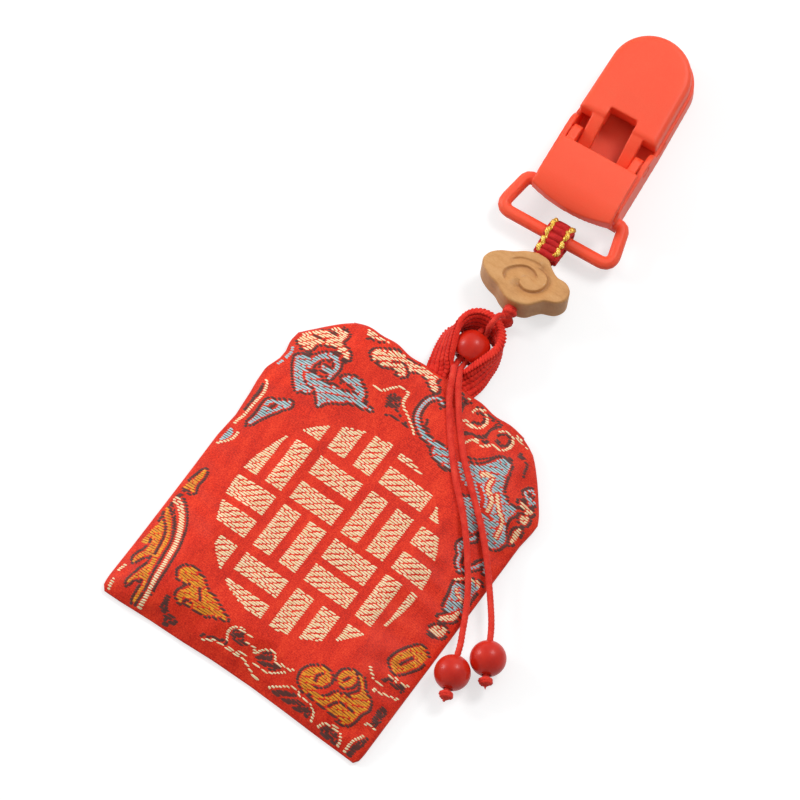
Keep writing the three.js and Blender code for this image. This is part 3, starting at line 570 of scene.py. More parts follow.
def make_tail(side, route, rng):
    """A free tail with its bead and the knot that holds the bead."""
    line = smooth_line(from_mouth(route))
    along = line[-1] - from_mouth(route)[-2]
    along[2] = 0
    along = unit(along)
    centre = line[-1] + along * (BEAD_RADIUS + BEAD_FROM_ROUTE)
    centre[2] = BEAD_RADIUS + BEAD_LIFT
    knot_place = centre + along * (BEAD_RADIUS + KNOT_FROM_BEAD)
    through = smooth_line([line[-1], centre, knot_place], 12)[1:]
    line = even_line(np.vstack([line, through]), 0.5)
    tail = piece("tail_" + side, braided(line, CORD_RADIUS), CORD, "pouch", ["tail_cord_" + side])
    wound = knot(knot_place, along, (1.3, 1.15), radius=1.72, height=2.35, turns=2.4, thick=0.62)
    wound += frayed_tip(knot_place + along * 0.6, along, rng)
    knot_piece = piece("tail_knot_" + side, joined(wound), CORD, "pouch", ["end_knot_" + side])
    bead = bored_ball(centre, along, BEAD_RADIUS, TAIL_BORE)
    bead_piece = piece("tail_bead_" + side, bead, BEAD, "bead_" + side, ["end_bead_" + side])


def bored_ball(centre, axis, radius, bore):
    """A turned bead with softly broken edges at its hole."""
    axis = unit(np.asarray(axis, float))
    side = unit(np.cross(axis, (0.1, 0.2, 0.97)))
    other = np.cross(axis, side)
    sides = 56
    lip = BORE_LIP
    tip = math.acos((bore + lip) / radius)
    arc = np.linspace(-tip, tip, 40)
    profile = [(radius * math.cos(a), radius * math.sin(a)) for a in arc]
    edge = profile[-1][1]
    broken = [(bore + 0.1, edge - 0.02), (bore, edge - lip)]
    profile += broken + [(r, -h) for r, h in broken[::-1]]
    angles = angles_round(sides)
    around = np.cos(angles)[:, None] * side + np.sin(angles)[:, None] * other
    rows = [np.asarray(centre) + r * around + h * axis for r, h in profile]
    points = np.vstack(rows)
    faces = grid_faces(len(rows), sides, wrap=True)
    last = (len(rows) - 1) * sides
    faces += [[last + j, last + (j + 1) % sides, (j + 1) % sides, j] for j in range(sides)]
    return points, faces


# Where the hanger and the clip lie

BAR = np.array([0.2, 80.9, 3.9])
HANGER_SWING = Matrix.Rotation(math.radians(6.1), 3, "Z")
HANGER_SLOPE = Matrix.Rotation(math.radians(-9.5), 3, "X")
HANGER_TURN = np.array(HANGER_SWING @ HANGER_SLOPE)
UPPER_KNOT = -21.03


def on_hanger(points):
    """Places measured in the hanger's own axes, from the clip's bar."""
    return np.asarray(points, float) @ HANGER_TURN.T + BAR


def make_neck():
    """The doubled cord from the knots through the stopper bead."""
    over = braided(smooth_line(from_mouth(OVER_STRAND)), OVER_SLIM * CORD_RADIUS)
    under = braided(smooth_line(from_mouth(UNDER_STRAND)), CORD_RADIUS)
    piece("strand_over", over, CORD, "pouch", ["neck_strand_over"])
    piece("strand_under", under, CORD, "pouch", ["neck_strand_under"])
    upper = on_hanger([0, UPPER_KNOT, 0])
    along = HANGER_TURN[:, 1]
    lower_axis = unit(upper - LOWER_KNOT)
    wound = knot(LOWER_KNOT, lower_axis, (1.2, 1.3), radius=1.62, height=2.9, turns=2.0, thick=0.66)
    piece("knot_lower", joined(wound), CORD, "pouch", ["neck_knot_lower"])
    wound = knot(upper, along, (1.3, 1.4), radius=1.78, height=3.2, turns=2.1, thick=0.68)
    piece("knot_upper", joined(wound), CORD, "neck", ["neck_knot_upper"])
    stopper = bored_ball(STOPPER, (0, 1, 0), BEAD_RADIUS, STOPPER_BORE)
    piece("bead_stopper", stopper, BEAD, "stopper", ["stopper_bead"])


make_camera()
chance = np.random.default_rng(7)
make_tail("left", LEFT_TAIL, chance)
make_tail("right", RIGHT_TAIL, chance)
make_neck()


# Pouch: a brocade strip folded at the bottom and sewn up the sides

COLUMNS = 67
ROWS = 81
BACK_INSET = 0.6
BACK_SWELL = 0.12
PUCKER = 0.18
PUCKER_REACH = 5
PUCKER_RISE = 1.5
SWING = 0.28
SAG = 0.15
MOUTH_WAVE = 0.6
FOLD_REACH = 18
MOUTH_REACH = 10

# Places along the pouch, and how far its outline reaches to the left and the right there
LEFT_REACH = (
    (-40, 32.2), (-39, 33), (-37.5, 33.2), (-28, 33), (-10, 33), (2, 33.1), (8, 32.6), (14, 33.1),
    (17, 33.5), (20.5, 33.7), (24, 32.5), (26, 32.4), (28.5, 33), (31, 32.7), (33, 31), (34.9, 29.3),
    (37, 27.4), (38.8, 25.8), (40, 24.5),
)
RIGHT_REACH = (
    (-40, 33.8), (-39, 34.5), (-37.5, 34.7), (-16, 34.5), (14, 34.2), (20, 34.1), (24, 34.5),
    (26, 34.5), (27.6, 33.7), (29.5, 32.3), (32, 30.3), (34.4, 28.3), (36.5, 26.3), (38, 24.4),
    (39.1, 22.5), (40, 20.8),
)

# Places across the pouch, and how far the fold bows towards the mouth there
FOLD_BOW = (
    (-33, -0.5), (-28, -0.45), (-20, 0), (-12, 0.2), (-4, 0.6), (6, 0.75), (14, 0.5), (22, 0.2),
    (30, 0), (35, -0.2),
)

# The side wall: the share of the way down from the front's rim, and how far it stands out there
WALL = ((0.18, 0.28), (0.4, 0.3), (0.52, 0.02), (0.64, 0.22), (0.86, 0.1))

# The hem turned in at the mouth: how far along the pouch and how far into it
HEM = ((0, 0), (0.32, 0.3), (0.28, 0.75), (-0.3, 0.95), (-7, 0.98))

# Settling: how much larger the cloth is then, its steps, and the limits of what is kept of the movement
SETTLE_SCALE = 10
SETTLE_STEPS = 20
SETTLE_MOST = 1.0
SETTLE_SINK = 0.25
CORNER_HOLD = 3.0
CLOTH = {
    "quality": 5,
    "mass": 0.2,
    "tension_stiffness": 15,
    "compression_stiffness": 15,
    "shear_stiffness": 8,
    "bending_stiffness": 0.4,
    "vertex_group_mass": "pins",
    "use_pressure": True,
    "uniform_pressure_force": 1.2,
    "shrink_min": -0.014,
}


def from_table(places, table):
    """Values between the rows of a table of places and values."""
    return np.interp(places, *np.array(table, float).T)


def reach(y, sign):
    """How far the pouch reaches to one side at each place along it."""
    return from_table(y, LEFT_REACH if sign < 0 else RIGHT_REACH)


def swell(distance):
    """The rise of the padding this far in from an edge, from 0 to 1."""
    left = 1 - np.clip(distance / EDGE_ROLL, 0, 1)
    return (1 - left * left) ** 0.8


def fold_roll(y):
    """The rise of the front above the fold: steep at first, like the edge of a cushion."""
    left = 1 - np.clip((y - FOLD) / FOLD_ROLL, 0, 1)
    return np.sqrt(np.clip(1 - left * left, 0, 1))


def across_pouch(share, y, inset=0.0):
    """Where a share of the way across, from -1 to 1, lies."""
    return share * (np.where(share > 0, reach(y, 1), reach(y, -1)) - inset)


def along_pouch(x, y):
    """Where places lie along the pouch, and their lift: the fold bows and the mouth is uneven."""
    near_fold = np.clip(1 - (y - FOLD) / FOLD_REACH, 0, 1) ** 2
    near_mouth = np.clip((y - (MOUTH - MOUTH_REACH)) / MOUTH_REACH, 0, 1) ** 2
    bow = from_table(x, FOLD_BOW)
    wave = 0.35 * np.sin(x * 0.31 + 0.6) + 0.25 * np.sin(x * 0.83)
    return y + near_fold * bow + near_mouth * MOUTH_WAVE * wave, near_mouth * wave * 0.5


def front_grid():
    """The padded front before it settles."""
    y = np.linspace(FOLD, MOUTH, ROWS)[:, None]
    share = np.linspace(-1, 1, COLUMNS)[None, :]
    x = across_pouch(share, y)
    y = np.broadcast_to(y, x.shape)
    edge = reach(y, -1) * (1 - np.abs(share))
    rise = fold_roll(y)
    z = FOLD_RIM + (RIM - FOLD_RIM) * rise + (TOP - RIM) * swell(edge) * rise
    near_edge = np.exp(-((edge / PUCKER_REACH) ** 2)) * np.clip((z - RIM) / PUCKER_RISE, 0, 1)
    pucker = PUCKER * np.sin(y * 1.15) * near_edge
    wave = np.sin(0.17 * x + 0.1 * y + 0.5) * np.sin(0.15 * y - 0.12 * x + 1.1)
    swing = SWING * wave * swell(edge)
    y, lift = along_pouch(x, y)
    return np.stack([x, y, z + lift + pucker + swing - SAG * swell(edge)], axis=2)


def settle(grid):
    """Lets the front puff and crease a little under light pressure; its edge is held."""
    scale = SETTLE_SCALE * MM
    faces = grid_faces(ROWS, COLUMNS)
    mesh = bpy.data.meshes.new("settling")
    mesh.from_pydata((grid.reshape(-1, 3) * scale).tolist(), [], faces)
    cloth_object = bpy.data.objects.new("settling", mesh)
    scene.collection.objects.link(cloth_object)
    pins = cloth_object.vertex_groups.new(name="pins")
    index = np.arange(ROWS * COLUMNS).reshape(ROWS, COLUMNS)
    rim = np.unique(np.concatenate([index[0], index[-1], index[:, 0], index[:, -1]]))
    pins.add(rim.tolist(), 1.0, "REPLACE")
    cloth = cloth_object.modifiers.new("cloth", "CLOTH")
    for setting, value in CLOTH.items():
        setattr(cloth.settings, setting, value)
    cloth.settings.effector_weights.gravity = 0
    cloth.collision_settings.use_collision = False
    for step in range(1, SETTLE_STEPS + 1):
        scene.frame_set(step)
    evaluated = cloth_object.evaluated_get(bpy.context.evaluated_depsgraph_get())
    found = np.empty(ROWS * COLUMNS * 3)
    evaluated.data.vertices.foreach_get("co", found)
    scene.frame_set(1)
    bpy.data.objects.remove(cloth_object)
    bpy.data.meshes.remove(mesh)
    moved = found.reshape(grid.shape) / scale - grid
    distance = np.linalg.norm(moved, axis=2, keepdims=True)
    capped = moved * np.minimum(1, SETTLE_MOST / np.maximum(distance, 1e-9))
    capped[..., 2] = np.maximum(capped[..., 2], -SETTLE_SINK)
    edge = np.abs(np.abs(grid[..., 0]) - np.abs(grid[:, -1:, 0]))
    from_corner = np.hypot(edge, grid[..., 1] - FOLD)
    free = 1 - np.exp(-((from_corner / CORNER_HOLD) ** 2))
    return grid + capped * free[..., None]


def back_grid():
    """The nearly flat back."""
    y = np.linspace(FOLD + BACK_INSET, MOUTH, ROWS)[:, None]
    share = np.linspace(-1, 1, COLUMNS)[None, :]
    x = across_pouch(share, y, BACK_INSET)
    y = np.broadcast_to(y, x.shape)
    inner = swell(2 * reach(y, -1) * (1 - np.abs(share))) * swell((y - FOLD) * 2)
    z = BACK_SWELL * inner * (1 + np.sin(x * 0.21 + 1) * np.sin(y * 0.17))
    return np.stack([x, along_pouch(x, y)[0], z], axis=2)


def smooth_field(grid):
    """Unit normals of a grid of points."""
    return unit(np.cross(np.gradient(grid, axis=1), np.gradient(grid, axis=0)))


def rim_loop(grid):
    """The grid's edge down the left side, along the fold and up the right side."""
    return np.vstack([grid[::-1, 0], grid[0, 1:-1], grid[:, -1]])


def make_pouch(front, back):
    """Front, back, side wall and turned-in hems as one cloth."""
    rim = rim_loop(front)
    under = rim_loop(back)
    outward = rim - under
    outward[:, 2] = 0
    outward = unit(outward)
    strips = [rim, *(rim * (1, 1, 1 - share) + out * outward for share, out in WALL), under]
    side_wall = (np.vstack(strips), turned(grid_faces(len(strips), len(rim))))
    hems = []
    for grid, inward in ((front, -1), (back, 1)):
        rows = [grid[-1] + (0, along, inward * into) for along, into in HEM]
        faces = grid_faces(len(rows), COLUMNS)
        hems.append((np.vstack(rows), faces if inward < 0 else turned(faces)))
    body = joined(
        [
            (front.reshape(-1, 3), grid_faces(ROWS, COLUMNS)),
            (back.reshape(-1, 3), turned(grid_faces(ROWS, COLUMNS))),
            side_wall,
            *hems,
        ]
    )
    pouch = piece("pouch_cloth", body, SATIN, "pouch", ["front_panel", "back_panel"])
    weld = pouch.modifiers.new("weld", "WELD")
    weld.merge_threshold = 0.01 * MM


# Brocade: pattern wefts that float over the ground, laid out in pouch millimetres.
# Areas: a colour, whether a dark line runs round them, and outlines as x, y, x, y and so on.
SHAPES = (
    ("cream", 1,
     (-32.7, 29.9, -32.2, 31.5, -30.9, 32.9, -29.3, 33.8, -27.9, 34.6, -27.4, 36.6, -26, 37.3, -24.1, 37.1,
      -23.3, 36.3, -23.1, 33.7, -21.2, 32.7, -20.1, 32.3, -19.2, 30.5, -21.6, 31.2, -24.1, 31.7,
      -25.7, 31.2, -27.2, 30.5, -27.8, 28.5, -29.5, 28.3, -31.3, 28.8)),
    ("blue", 0,
     (-33.1, 27.8, -31.3, 27.3, -31.1, 26.2, -31.5, 24.5, -31.8, 22.9, -32.4, 21.8, -33.5, 21.4, -33, 23.4,
      -32.9, 25.2, -33.2, 27.1)),
    ("blue", 1,
     (-30.2, 25.8, -29.7, 26.5, -27.9, 27.2, -26.3, 26.8, -26.1, 25.5, -26.3, 24.3, -25.5, 22.4,
      -23.6, 21.3, -21.9, 21.2, -22.2, 20.1, -23.5, 19.6, -25.2, 19.3, -26.5, 20.3, -28, 22.1, -29.4, 24.2),
     (-26.3, 24.3, -24.3, 24.6, -22.3, 24.2, -21.2, 23.8, -17.9, 24.3, -16.8, 24.3, -15, 25, -13.6, 25.4,
      -11.8, 25.2, -8.6, 24.7, -10.2, 24.1, -12.1, 23.7, -14.3, 23.2, -14.4, 22.5, -16.1, 21.5, -17.6, 20.4,
      -18.1, 19.5, -18.8, 18.7, -19.9, 19.7, -21.2, 21.1, -22.2, 21.6, -23.7, 21.8, -25.3, 22.5),
     (-18.4, 26.9, -17.6, 27.8, -15.9, 28.5, -14.4, 28.4, -13, 27.6, -11.7, 26.6, -12, 25.4, -13.7, 25.9,
      -15.3, 26.5, -16.8, 26.6, -17.9, 26.3)),
    ("brown", 0,
     (-32.5, 16.9, -31.7, 17, -31, 15.6, -31.2, 13.2, -31.5, 10.6, -32.1, 8.2, -32.4, 7.2, -33, 8,
      -32.7, 9.9, -32.6, 12.4, -32.4, 14.5)),
    ("blue", 1,
     (-23.8, 16.1, -25, 16.2, -26.3, 15.7, -27.4, 15, -29, 14.4, -29.3, 13, -29.2, 11.6, -29.3, 9.5,
      -29.6, 7.2, -28.7, 7.5, -27.9, 9.4, -26.9, 10.9, -26.3, 11.9, -25.4, 13, -24.7, 14.3, -23.9, 14.8)),
    ("brown", 0, (-28.1, 13.1, -27.6, 14, -26.5, 14.1, -26.6, 13.1, -27.4, 12.6)),
    ("cream", 0, (-21.1, 40.1, -20, 40.3, -16.9, 40, -14.3, 39.7, -15.4, 39.1, -17.6, 38.5, -19.7, 38)),
    ("brown", 0, (-19.8, 37.7, -17.5, 38.4, -15.4, 39.1, -15.8, 38.5, -18, 37.6, -19.4, 36.9)),
    ("cream", 1,
     (-16.4, 35, -15.9, 36.7, -14.5, 37.6, -13.1, 38.5, -11.4, 39.4, -9.3, 39.4, -7, 39, -5.8, 39.7,
      -4, 40.4, -2.1, 40.7, -1.4, 40.2, -1.4, 38.4, -0.1, 37.5, 0.3, 36.4, -0.7, 36, -2.6, 37.2, -4.5, 37.9,
      -7.1, 36.8, -7.4, 34.9, -9, 34.7, -10.8, 34.9, -12, 34.2, -14.1, 34.2, -15.5, 34.2)),
    ("brown", 0,
     (-8.3, 29.1, -7.3, 30.5, -5, 30.7, -4, 29.7, -3.8, 28, -0.7, 26.7, -2.7, 27, -5.2, 27.7, -6.9, 27.2)),
    ("blue", 1, (6.9, 25.1, 8.6, 26, 11, 26, 12.6, 25.3, 13.2, 23.9, 11.7, 23.6, 9.9, 23.7, 8, 24.1)),
    ("brown", 0,
     (4, 39.8, 6, 39.4, 8.2, 39.3, 7.2, 37.8, 7.5, 35.9, 7.3, 35),
     (9.1, 32.8, 11.8, 33.3, 13.8, 34.4, 14.1, 37.2, 14.5, 39, 16.1, 39.2, 16.1, 37.7, 15, 36, 15.5, 33.9,
      16.5, 33.5, 14.9, 32.7, 12.5, 32.8, 10.5, 31.3),
     (8.2, 39.3, 10, 39.5, 12.8, 39.9, 15.5, 39.9, 14.5, 39, 11.7, 39, 9.9, 38.7),
     (21.9, 35.4, 22.4, 36.5, 24.7, 35.7, 25.6, 35.4, 26.1, 33.8, 26.4, 32.4, 25.3, 33.4, 24.9, 34.7,
      23.4, 34.8)),
    ("blue", 1,
     (15.2, 27.2, 17.4, 28.4, 18.8, 30.2, 20, 32.4, 21.5, 33.1, 22.7, 32.6, 23.4, 30.5, 24.1, 28.1,
      25, 26.4, 27, 25.5, 29.8, 25.1, 29.6, 23.9, 29.3, 22.5, 30.1, 20.4, 31.6, 18.8, 31.5, 16.6,
      29.8, 15.1, 27.7, 16.1, 25.9, 18.2, 22.7, 20.2, 20.6, 22.2, 18.7, 24.4, 16.6, 25.7),
     (18.4, 20.6, 20.1, 21.1, 22.3, 19.9, 24, 18.4, 25.9, 16.7, 25, 15.2, 23.1, 15.9, 21, 17.9)),
    ("blue", 0,
     (12.5, 26.7, 14.3, 26.6, 16.7, 24.7, 18.5, 23.2, 16.9, 23.1, 15, 24.2),
     (23.9, 11.5, 24.3, 12.9, 26.1, 11.9, 25.4, 11, 24.7, 10.7)),
    ("blue", 1, (28.2, 29.5, 29.1, 31.6, 30.4, 32.1, 32, 30, 31.4, 28.4, 29.6, 28.5)),
    ("cream", 1,
     (28.5, 27.2, 30.3, 27.7, 32.6, 27.3, 32.3, 26.3, 29.7, 26.5),
     (30.7, 25.2, 32.6, 25.9, 32.9, 24, 31.3, 23.9),
     (31.5, 21.7, 32.6, 23, 33.4, 20.5, 32.7, 18.7, 31.9, 20.2)),
    ("orange", 1,
     (-31.8, -10.2, -31.3, -8.3, -30.8, -6.3, -30.1, -6.9, -29.7, -8.7, -29.9, -10.2, -29.4, -12.3,
      -30.9, -12.4, -32.4, -12.2, -32.4, -11.2),
     (-32.5, -17.7, -29.9, -19.7, -28.3, -21.8, -26.8, -24.7, -26.4, -27.5, -26, -30.2, -25.5, -32.8,
      -24.8, -34.5, -24.9, -37.1, -25.1, -39.5, -25.6, -39.2, -25.8, -36.7, -26, -34.7, -27.7, -35,
      -28.6, -36.9, -28.9, -36.1, -28.1, -33.1, -27.5, -30.8, -27.9, -29, -29.5, -30.3, -30.2, -32,
      -31, -32, -31.1, -30.9, -30.2, -28, -30.3, -26.1, -31.3, -25.2, -31.5, -23.6, -31.5, -21.3)),
    ("orange", 0, (-32.5, -27.6, -32.1, -25.4, -32.1, -23.3, -31.5, -21.3, -30.9, -25.7, -30.5, -27.6)),
    ("orange", 1,
     (-21, -28.7, -20.2, -27.1, -18.2, -26.7, -15.6, -27.2, -14.2, -28.2, -13, -29, -10.6, -29.6,
      -8.5, -30.7, -5.7, -31.9, -7.3, -32.4, -9.1, -33, -10.4, -33.8, -12.7, -33.8, -14.6, -33.8,
      -17, -34.2, -18.2, -33.4, -18.1, -31.8, -17.8, -30.4, -19.9, -30.2)),
    ("brown", 0,
     (-20.4, -37.5, -19.6, -35.9, -18.2, -36.1, -18, -37.2, -16.8, -37.6, -15.7, -38.6, -16.3, -39.6,
      -17.7, -39.9, -18.3, -38.5, -19.3, -38)),
    ("cream", 0, (-33.1, -39.5, -32.9, -37.7, -31.6, -38.5, -31.6, -39.8, -32.2, -40.6)),
    ("brown", 0,
     (-4.2, -34.3, -3.5, -32.5, -1.1, -32.3, -0.2, -33.6, 1.7, -33.9, 0, -35, -2.4, -35),
     (2.9, -35, 4, -33.2, 5.6, -32.5, 7.8, -33.4, 10, -33.5, 8.9, -35.4, 7, -36.2, 4.4, -36),
     (10, -39.1, 12.1, -37.5, 14.9, -36.8, 18.4, -37.2, 20.4, -37.7, 20.6, -39.1, 18.4, -39.4, 15, -39.3,
      11.8, -39.4),
     (23.5, -39.1, 24.5, -37.7, 27.8, -37.8, 28.9, -38.6, 28.6, -40, 26, -39.7, 24.3, -39.7),
     (31.2, -39, 31.7, -36.9, 32.9, -34.7, 34.1, -34.6, 34.4, -36.1, 33.5, -37.7, 33.3, -39.1, 33.1, -40.5,
      31.7, -40.3)),
    ("orange", 1,
     (14.1, -33.5, 13.8, -31.4, 15.1, -29.3, 17.4, -28, 19.5, -28.6, 20.3, -30.3, 19.7, -32.2, 19.2, -33.3,
      21.4, -32.9, 22.2, -31.2, 24.5, -30.3, 26.1, -29.9, 25.1, -29.5, 26.2, -28.2, 25.9, -26.7, 23.8, -25,
      25.6, -25.2, 27.1, -27, 29.3, -28, 30, -29.6, 29.3, -31.4, 29, -33.3, 28.3, -35.1, 26, -35.2,
      24.1, -34.9, 20.8, -34.9, 18.2, -34.7, 15.8, -34.7),
     (20.7, -28.2, 20.8, -26.4, 22, -25.3, 23.5, -25.2, 24.5, -26.5, 24.2, -28.3, 22.8, -29.2, 21.4, -28.9),
     (27.4, -18.1, 28, -15.5, 29.4, -13, 30.9, -11.2, 32.4, -11.5, 33.6, -12.6, 33.1, -15.2, 31.7, -17.8,
      30.1, -19.6, 28.6, -19.2)),
    ("brown", 0,
     (28, -22.8, 29.5, -21, 33.6, -20.4, 33.9, -21.9, 32.2, -22.4, 30.2, -22.5),
     (31.7, -31.9, 31.6, -27.3, 33.7, -27.2, 34.3, -29.3, 33.6, -31.6)),
    ("blue", 1,
     (28.4, 4.7, 30.4, 5.6, 31.5, 7.4, 33.2, 7.8, 33.2, 4.5, 33.5, 0.8, 33.3, -0.9, 30, -1.7, 29.1, 1.4)),
    ("cream", 1,
     (29.8, -3.8, 31.5, -1.9, 32.8, 0.3, 33.4, -0.9, 33.1, -2.5, 31.1, -4.1),
     (30.2, -7.6, 30.4, -5.9, 33.2, -4.8, 33.4, -6.5, 32, -7.6)),
    ("brown", 0, (28.7, 10.5, 29.3, 11.7, 31, 11.9, 30.4, 10.9, 29.3, 10.2)),
    ("blue", 0, (-33, 3.8, -31.6, 4.8, -30.6, 3.8, -31.2, 1.4, -32.8, 0.4)),
)

# Strokes: a colour, whether a dark line runs round them, their width at both ends, and routes.
STROKES = (
    ("blue", 1, 1.6, 1.2,
     (-26.1, 25.5, -25.7, 27.3, -24.3, 28.9, -22.6, 29.6, -20.9, 29, -20.4, 27.6, -20.6, 25.7)),
    ("blue", 1, 0.9, 0.9, (-23.3, 26.6, -21.2, 26.5)),
    ("brown", 0, 0.9, 0.9, (-27.4, 35, -25.5, 34.8)),
    ("brown", 0, 0.8, 0.8, (-29.7, 32, -28, 32, -26.7, 32.2)),
    ("cream", 0, 0.8, 0.75,
     (-33, 18.1, -31.6, 17.6, -31.1, 16.3, -30.8, 14.2, -31, 11.8, -31.2, 9.3, -31.8, 6.3)),
    ("brown", 0, 0.7, 0.7, (-11.4, 36.1, -9.8, 37.3, -8.2, 37, -7.2, 36)),
    ("cream", 0, 0.85, 0.75,
     (-11.6, 29.5, -9.6, 29.5, -8, 31.4, -7, 32.5, -4.6, 32.5, -4.4, 30.8, -3.8, 29.5, -2.1, 28.5,
      -0.6, 27.5, 1.8, 25.8)),
    ("brown", 0, 0.7, 0.7, (-5.8, 25.7, -4.2, 26.3, -1.8, 26.3, 0, 26.1)),
    ("blue", 1, 0.6, 1.5,
     (3.1, 34.5, 1.6, 35.2, 0.3, 34.6, -0.4, 32.7, -0.3, 30.2, 0.5, 28.7, 2.2, 27.4, 4.1, 26.6, 6.3, 26.4,
      8.5, 26.2, 11, 26)),
    ("brown", 0, 0.7, 0.7, (2.3, 30, 3.1, 28.4, 4.5, 28)),
    ("brown", 0, 1.0, 0.8, (10.5, 35.6, 11.8, 36.2, 12.2, 37.5, 11.1, 38.5, 9.8, 37.9)),
    ("cream", 0, 0.75, 0.7,
     (7.9, 34.2, 9.5, 34.5, 11.3, 34.4, 12.5, 35.2, 12.9, 37, 12.4, 38.4, 11, 39.2, 9.4, 38.5, 9, 37.2)),
    ("brown", 0, 1.0, 0.8, (17, 35, 18.8, 35, 19.5, 36.3, 18.9, 37.8, 17.5, 37.7, 16.6, 36.6)),
    ("cream", 0, 0.75, 0.7,
     (11.5, 30, 12.1, 31, 12.9, 32.3, 14.7, 32.2, 16.1, 32.5, 16.7, 33.6, 18.7, 33.7, 19.7, 34.6,
      20.1, 36.9, 19.4, 38.3, 17.5, 38.5, 16.3, 37.4)),
    ("cream", 0, 0.8, 0.75, (3.4, 39.9, 5.2, 40, 6.8, 39.7)),
    ("cream", 0, 1.2, 0.8, (19.7, 39.4, 21.3, 39.4, 23.6, 38.4)),
    ("brown", 0, 0.7, 0.7, (13.7, 27.9, 16.7, 29.4, 18.4, 31.3, 19.9, 33, 22.3, 33.4)),
    ("cream", 0, 1.3, 1.3, (19, 27.1, 21.1, 27.6, 21.9, 25, 24.1, 23.5, 24.8, 21.2)),
    ("cream", 0, 1.2, 1.0, (24.3, 25.1, 26.7, 22.7, 28.6, 21.5, 29.6, 17.8)),
    ("none", 0, 0.8, 0.8, (19.5, 24.6, 22.2, 22.7, 23.9, 20.5, 26.4, 20.3)),
    ("brown", 0, 1.4, 1.2, (29.5, 30.3, 30.9, 30)),
    ("brown", 0, 0.9, 0.9,
     (-32.9, -15, -31.5, -14.3, -29.4, -15.3, -27.6, -17, -26, -19.4, -24.9, -22.1, -23.9, -25.2,
      -23.2, -28.8, -23.1, -32.9, -23, -37.4, -23.1, -40.2)),
    ("cream", 0, 1.7, 1.6,
     (-32.4, -15.6, -30.6, -16, -28.5, -17.9, -26.8, -20.6, -25.3, -24.4, -24.6, -28, -24.1, -32.3,
      -23.7, -36.9, -23.7, -40.1)),
    ("brown", 0, 0.7, 0.7,
     (-32.4, -16.6, -30, -18.4, -27.7, -21.2, -26.3, -24.7, -25.5, -28.3, -25, -32.5, -24.6, -36.6,
      -24.8, -40.3)),
    ("brown", 0, 0.6, 0.5, (-31.9, -20.1, -29.6, -22.2, -28.2, -25.5, -27.6, -28.5)),
    ("cream", 0, 0.85, 0.75, (-32.6, -35.8, -31.9, -33.9)),
    ("cream", 0, 1.6, 1.4, (-32.1, -39.2, -31.9, -37.6)),
    ("brown", 0, 0.7, 0.5, (-18, -31.4, -17, -29.7)),
    ("brown", 0, 0.9, 0.7, (-16, -33.3, -14.5, -33.1)),
    ("brown", 0, 1.9, 1.3, (-19.4, -35.2, -19, -36.9, -17.2, -38.3, -15.2, -38.6)),
    ("brown", 0, 0.6, 0.5, (-14.8, -29.6, -13.3, -31.4)),
    ("brown", 0, 0.8, 0.8, (-9, -37.7, -6, -36.8, -3.2, -36.7, -0.2, -37)),
    ("cream", 0, 0.8, 0.7,
     (-8.4, -38.5, -6.6, -37.7, -4.4, -37.4, -1, -37.5, 1.9, -37.5, 5.4, -39, 6.8, -39.2)),
    ("cream", 0, 0.8, 0.75, (-3.9, -37.5, -1.1, -36.8, 1.8, -36.3)),
    ("cream", 0, 0.75, 0.7,
     (-3.7, -35.8, -4.4, -34, -3.5, -32.1, 0.7, -32),
     (0.1, -33.6, 2.4, -33.8, 2.9, -35, 4.2, -32.9, 6.9, -32.1, 7.5, -33.4, 12.3, -32.8),
     (3.8, -36.7, 7.4, -36.7, 10.8, -34.3),
     (9.5, -39, 11.9, -37.2, 14.1, -35.8, 16.9, -36.3, 19.5, -36.5, 20.9, -37.5, 21.4, -39),
     (23.3, -39.1, 24.3, -37.5, 27.9, -37.3, 29, -38.5, 29.1, -40),
     (31, -39.3, 31.3, -36.9, 32.3, -35)),
    ("brown", 0, 0.7, 0.6,
     (17.3, -31.4, 17.1, -30.3, 17.7, -29.5),
     (17.9, -32.6, 19.6, -32, 20.3, -30.3)),
    ("none", 0, 0.9, 0.9, (19.4, -33.2, 21, -31.2, 21.4, -29.5)),
    ("brown", 0, 0.7, 0.7, (22.3, -27.7, 22.8, -27)),
    ("brown", 0, 0.6, 0.6, (22.8, -34.3, 23.9, -32.4, 26, -32, 27.8, -32.2)),
    ("brown", 0, 0.8, 0.7, (29.8, -16.9, 31.1, -14.4)),
    ("cream", 0, 0.8, 0.75,
     (25, -22.1, 26.8, -23.4, 29.5, -23.8),
     (28.3, -25.5, 30.4, -25, 33.6, -23.8),
     (29.1, -21, 33.8, -20.2),
     (31.2, -32.3, 34.5, -31.8)),
    ("cream", 0, 0.9, 0.8, (30.3, -7, 32.1, -6.9)),
    ("cream", 0, 0.8, 0.8,
     (28.3, 5.1, 29.8, 6.5, 31.4, 7.3, 33, 7.3),
     (29.6, 3.4, 30.9, 2.4, 32.1, 2.1)),
    ("blue", 1, 1.1, 0.8, (26.2, 14.7, 25, 13, 24.8, 11.1, 26, 10.2, 26.4, 8.5, 27.7, 7.5, 28.9, 7.8)),
    ("blue", 1, 0.8, 1, (29.3, 9, 30.3, 10.3, 30.8, 11.8, 32.1, 10.7)),
    ("cream", 0, 0.7, 0.7, (-33, 0, -31.4, 1, -30.2, 2.6, -30, 4.4)),
)

ROUNDEL = (0.0, -3.4)
ROUNDEL_RADIUS = 24.4
CELL = 13.6
BAR_GAP = 1.9
OUTLINE = 0.68
FAR_OUTSIDE = -9.0
COLOURS = ("none", "cream", "brown", "orange", "blue")


def near_line(x, y, line, margin):
    """Whether each place lies in the line's box, with a margin."""
    low, high = line.min(axis=0) - margin, line.max(axis=0) + margin
    return (x > low[0]) & (x < high[0]) & (y > low[1]) & (y < high[1])


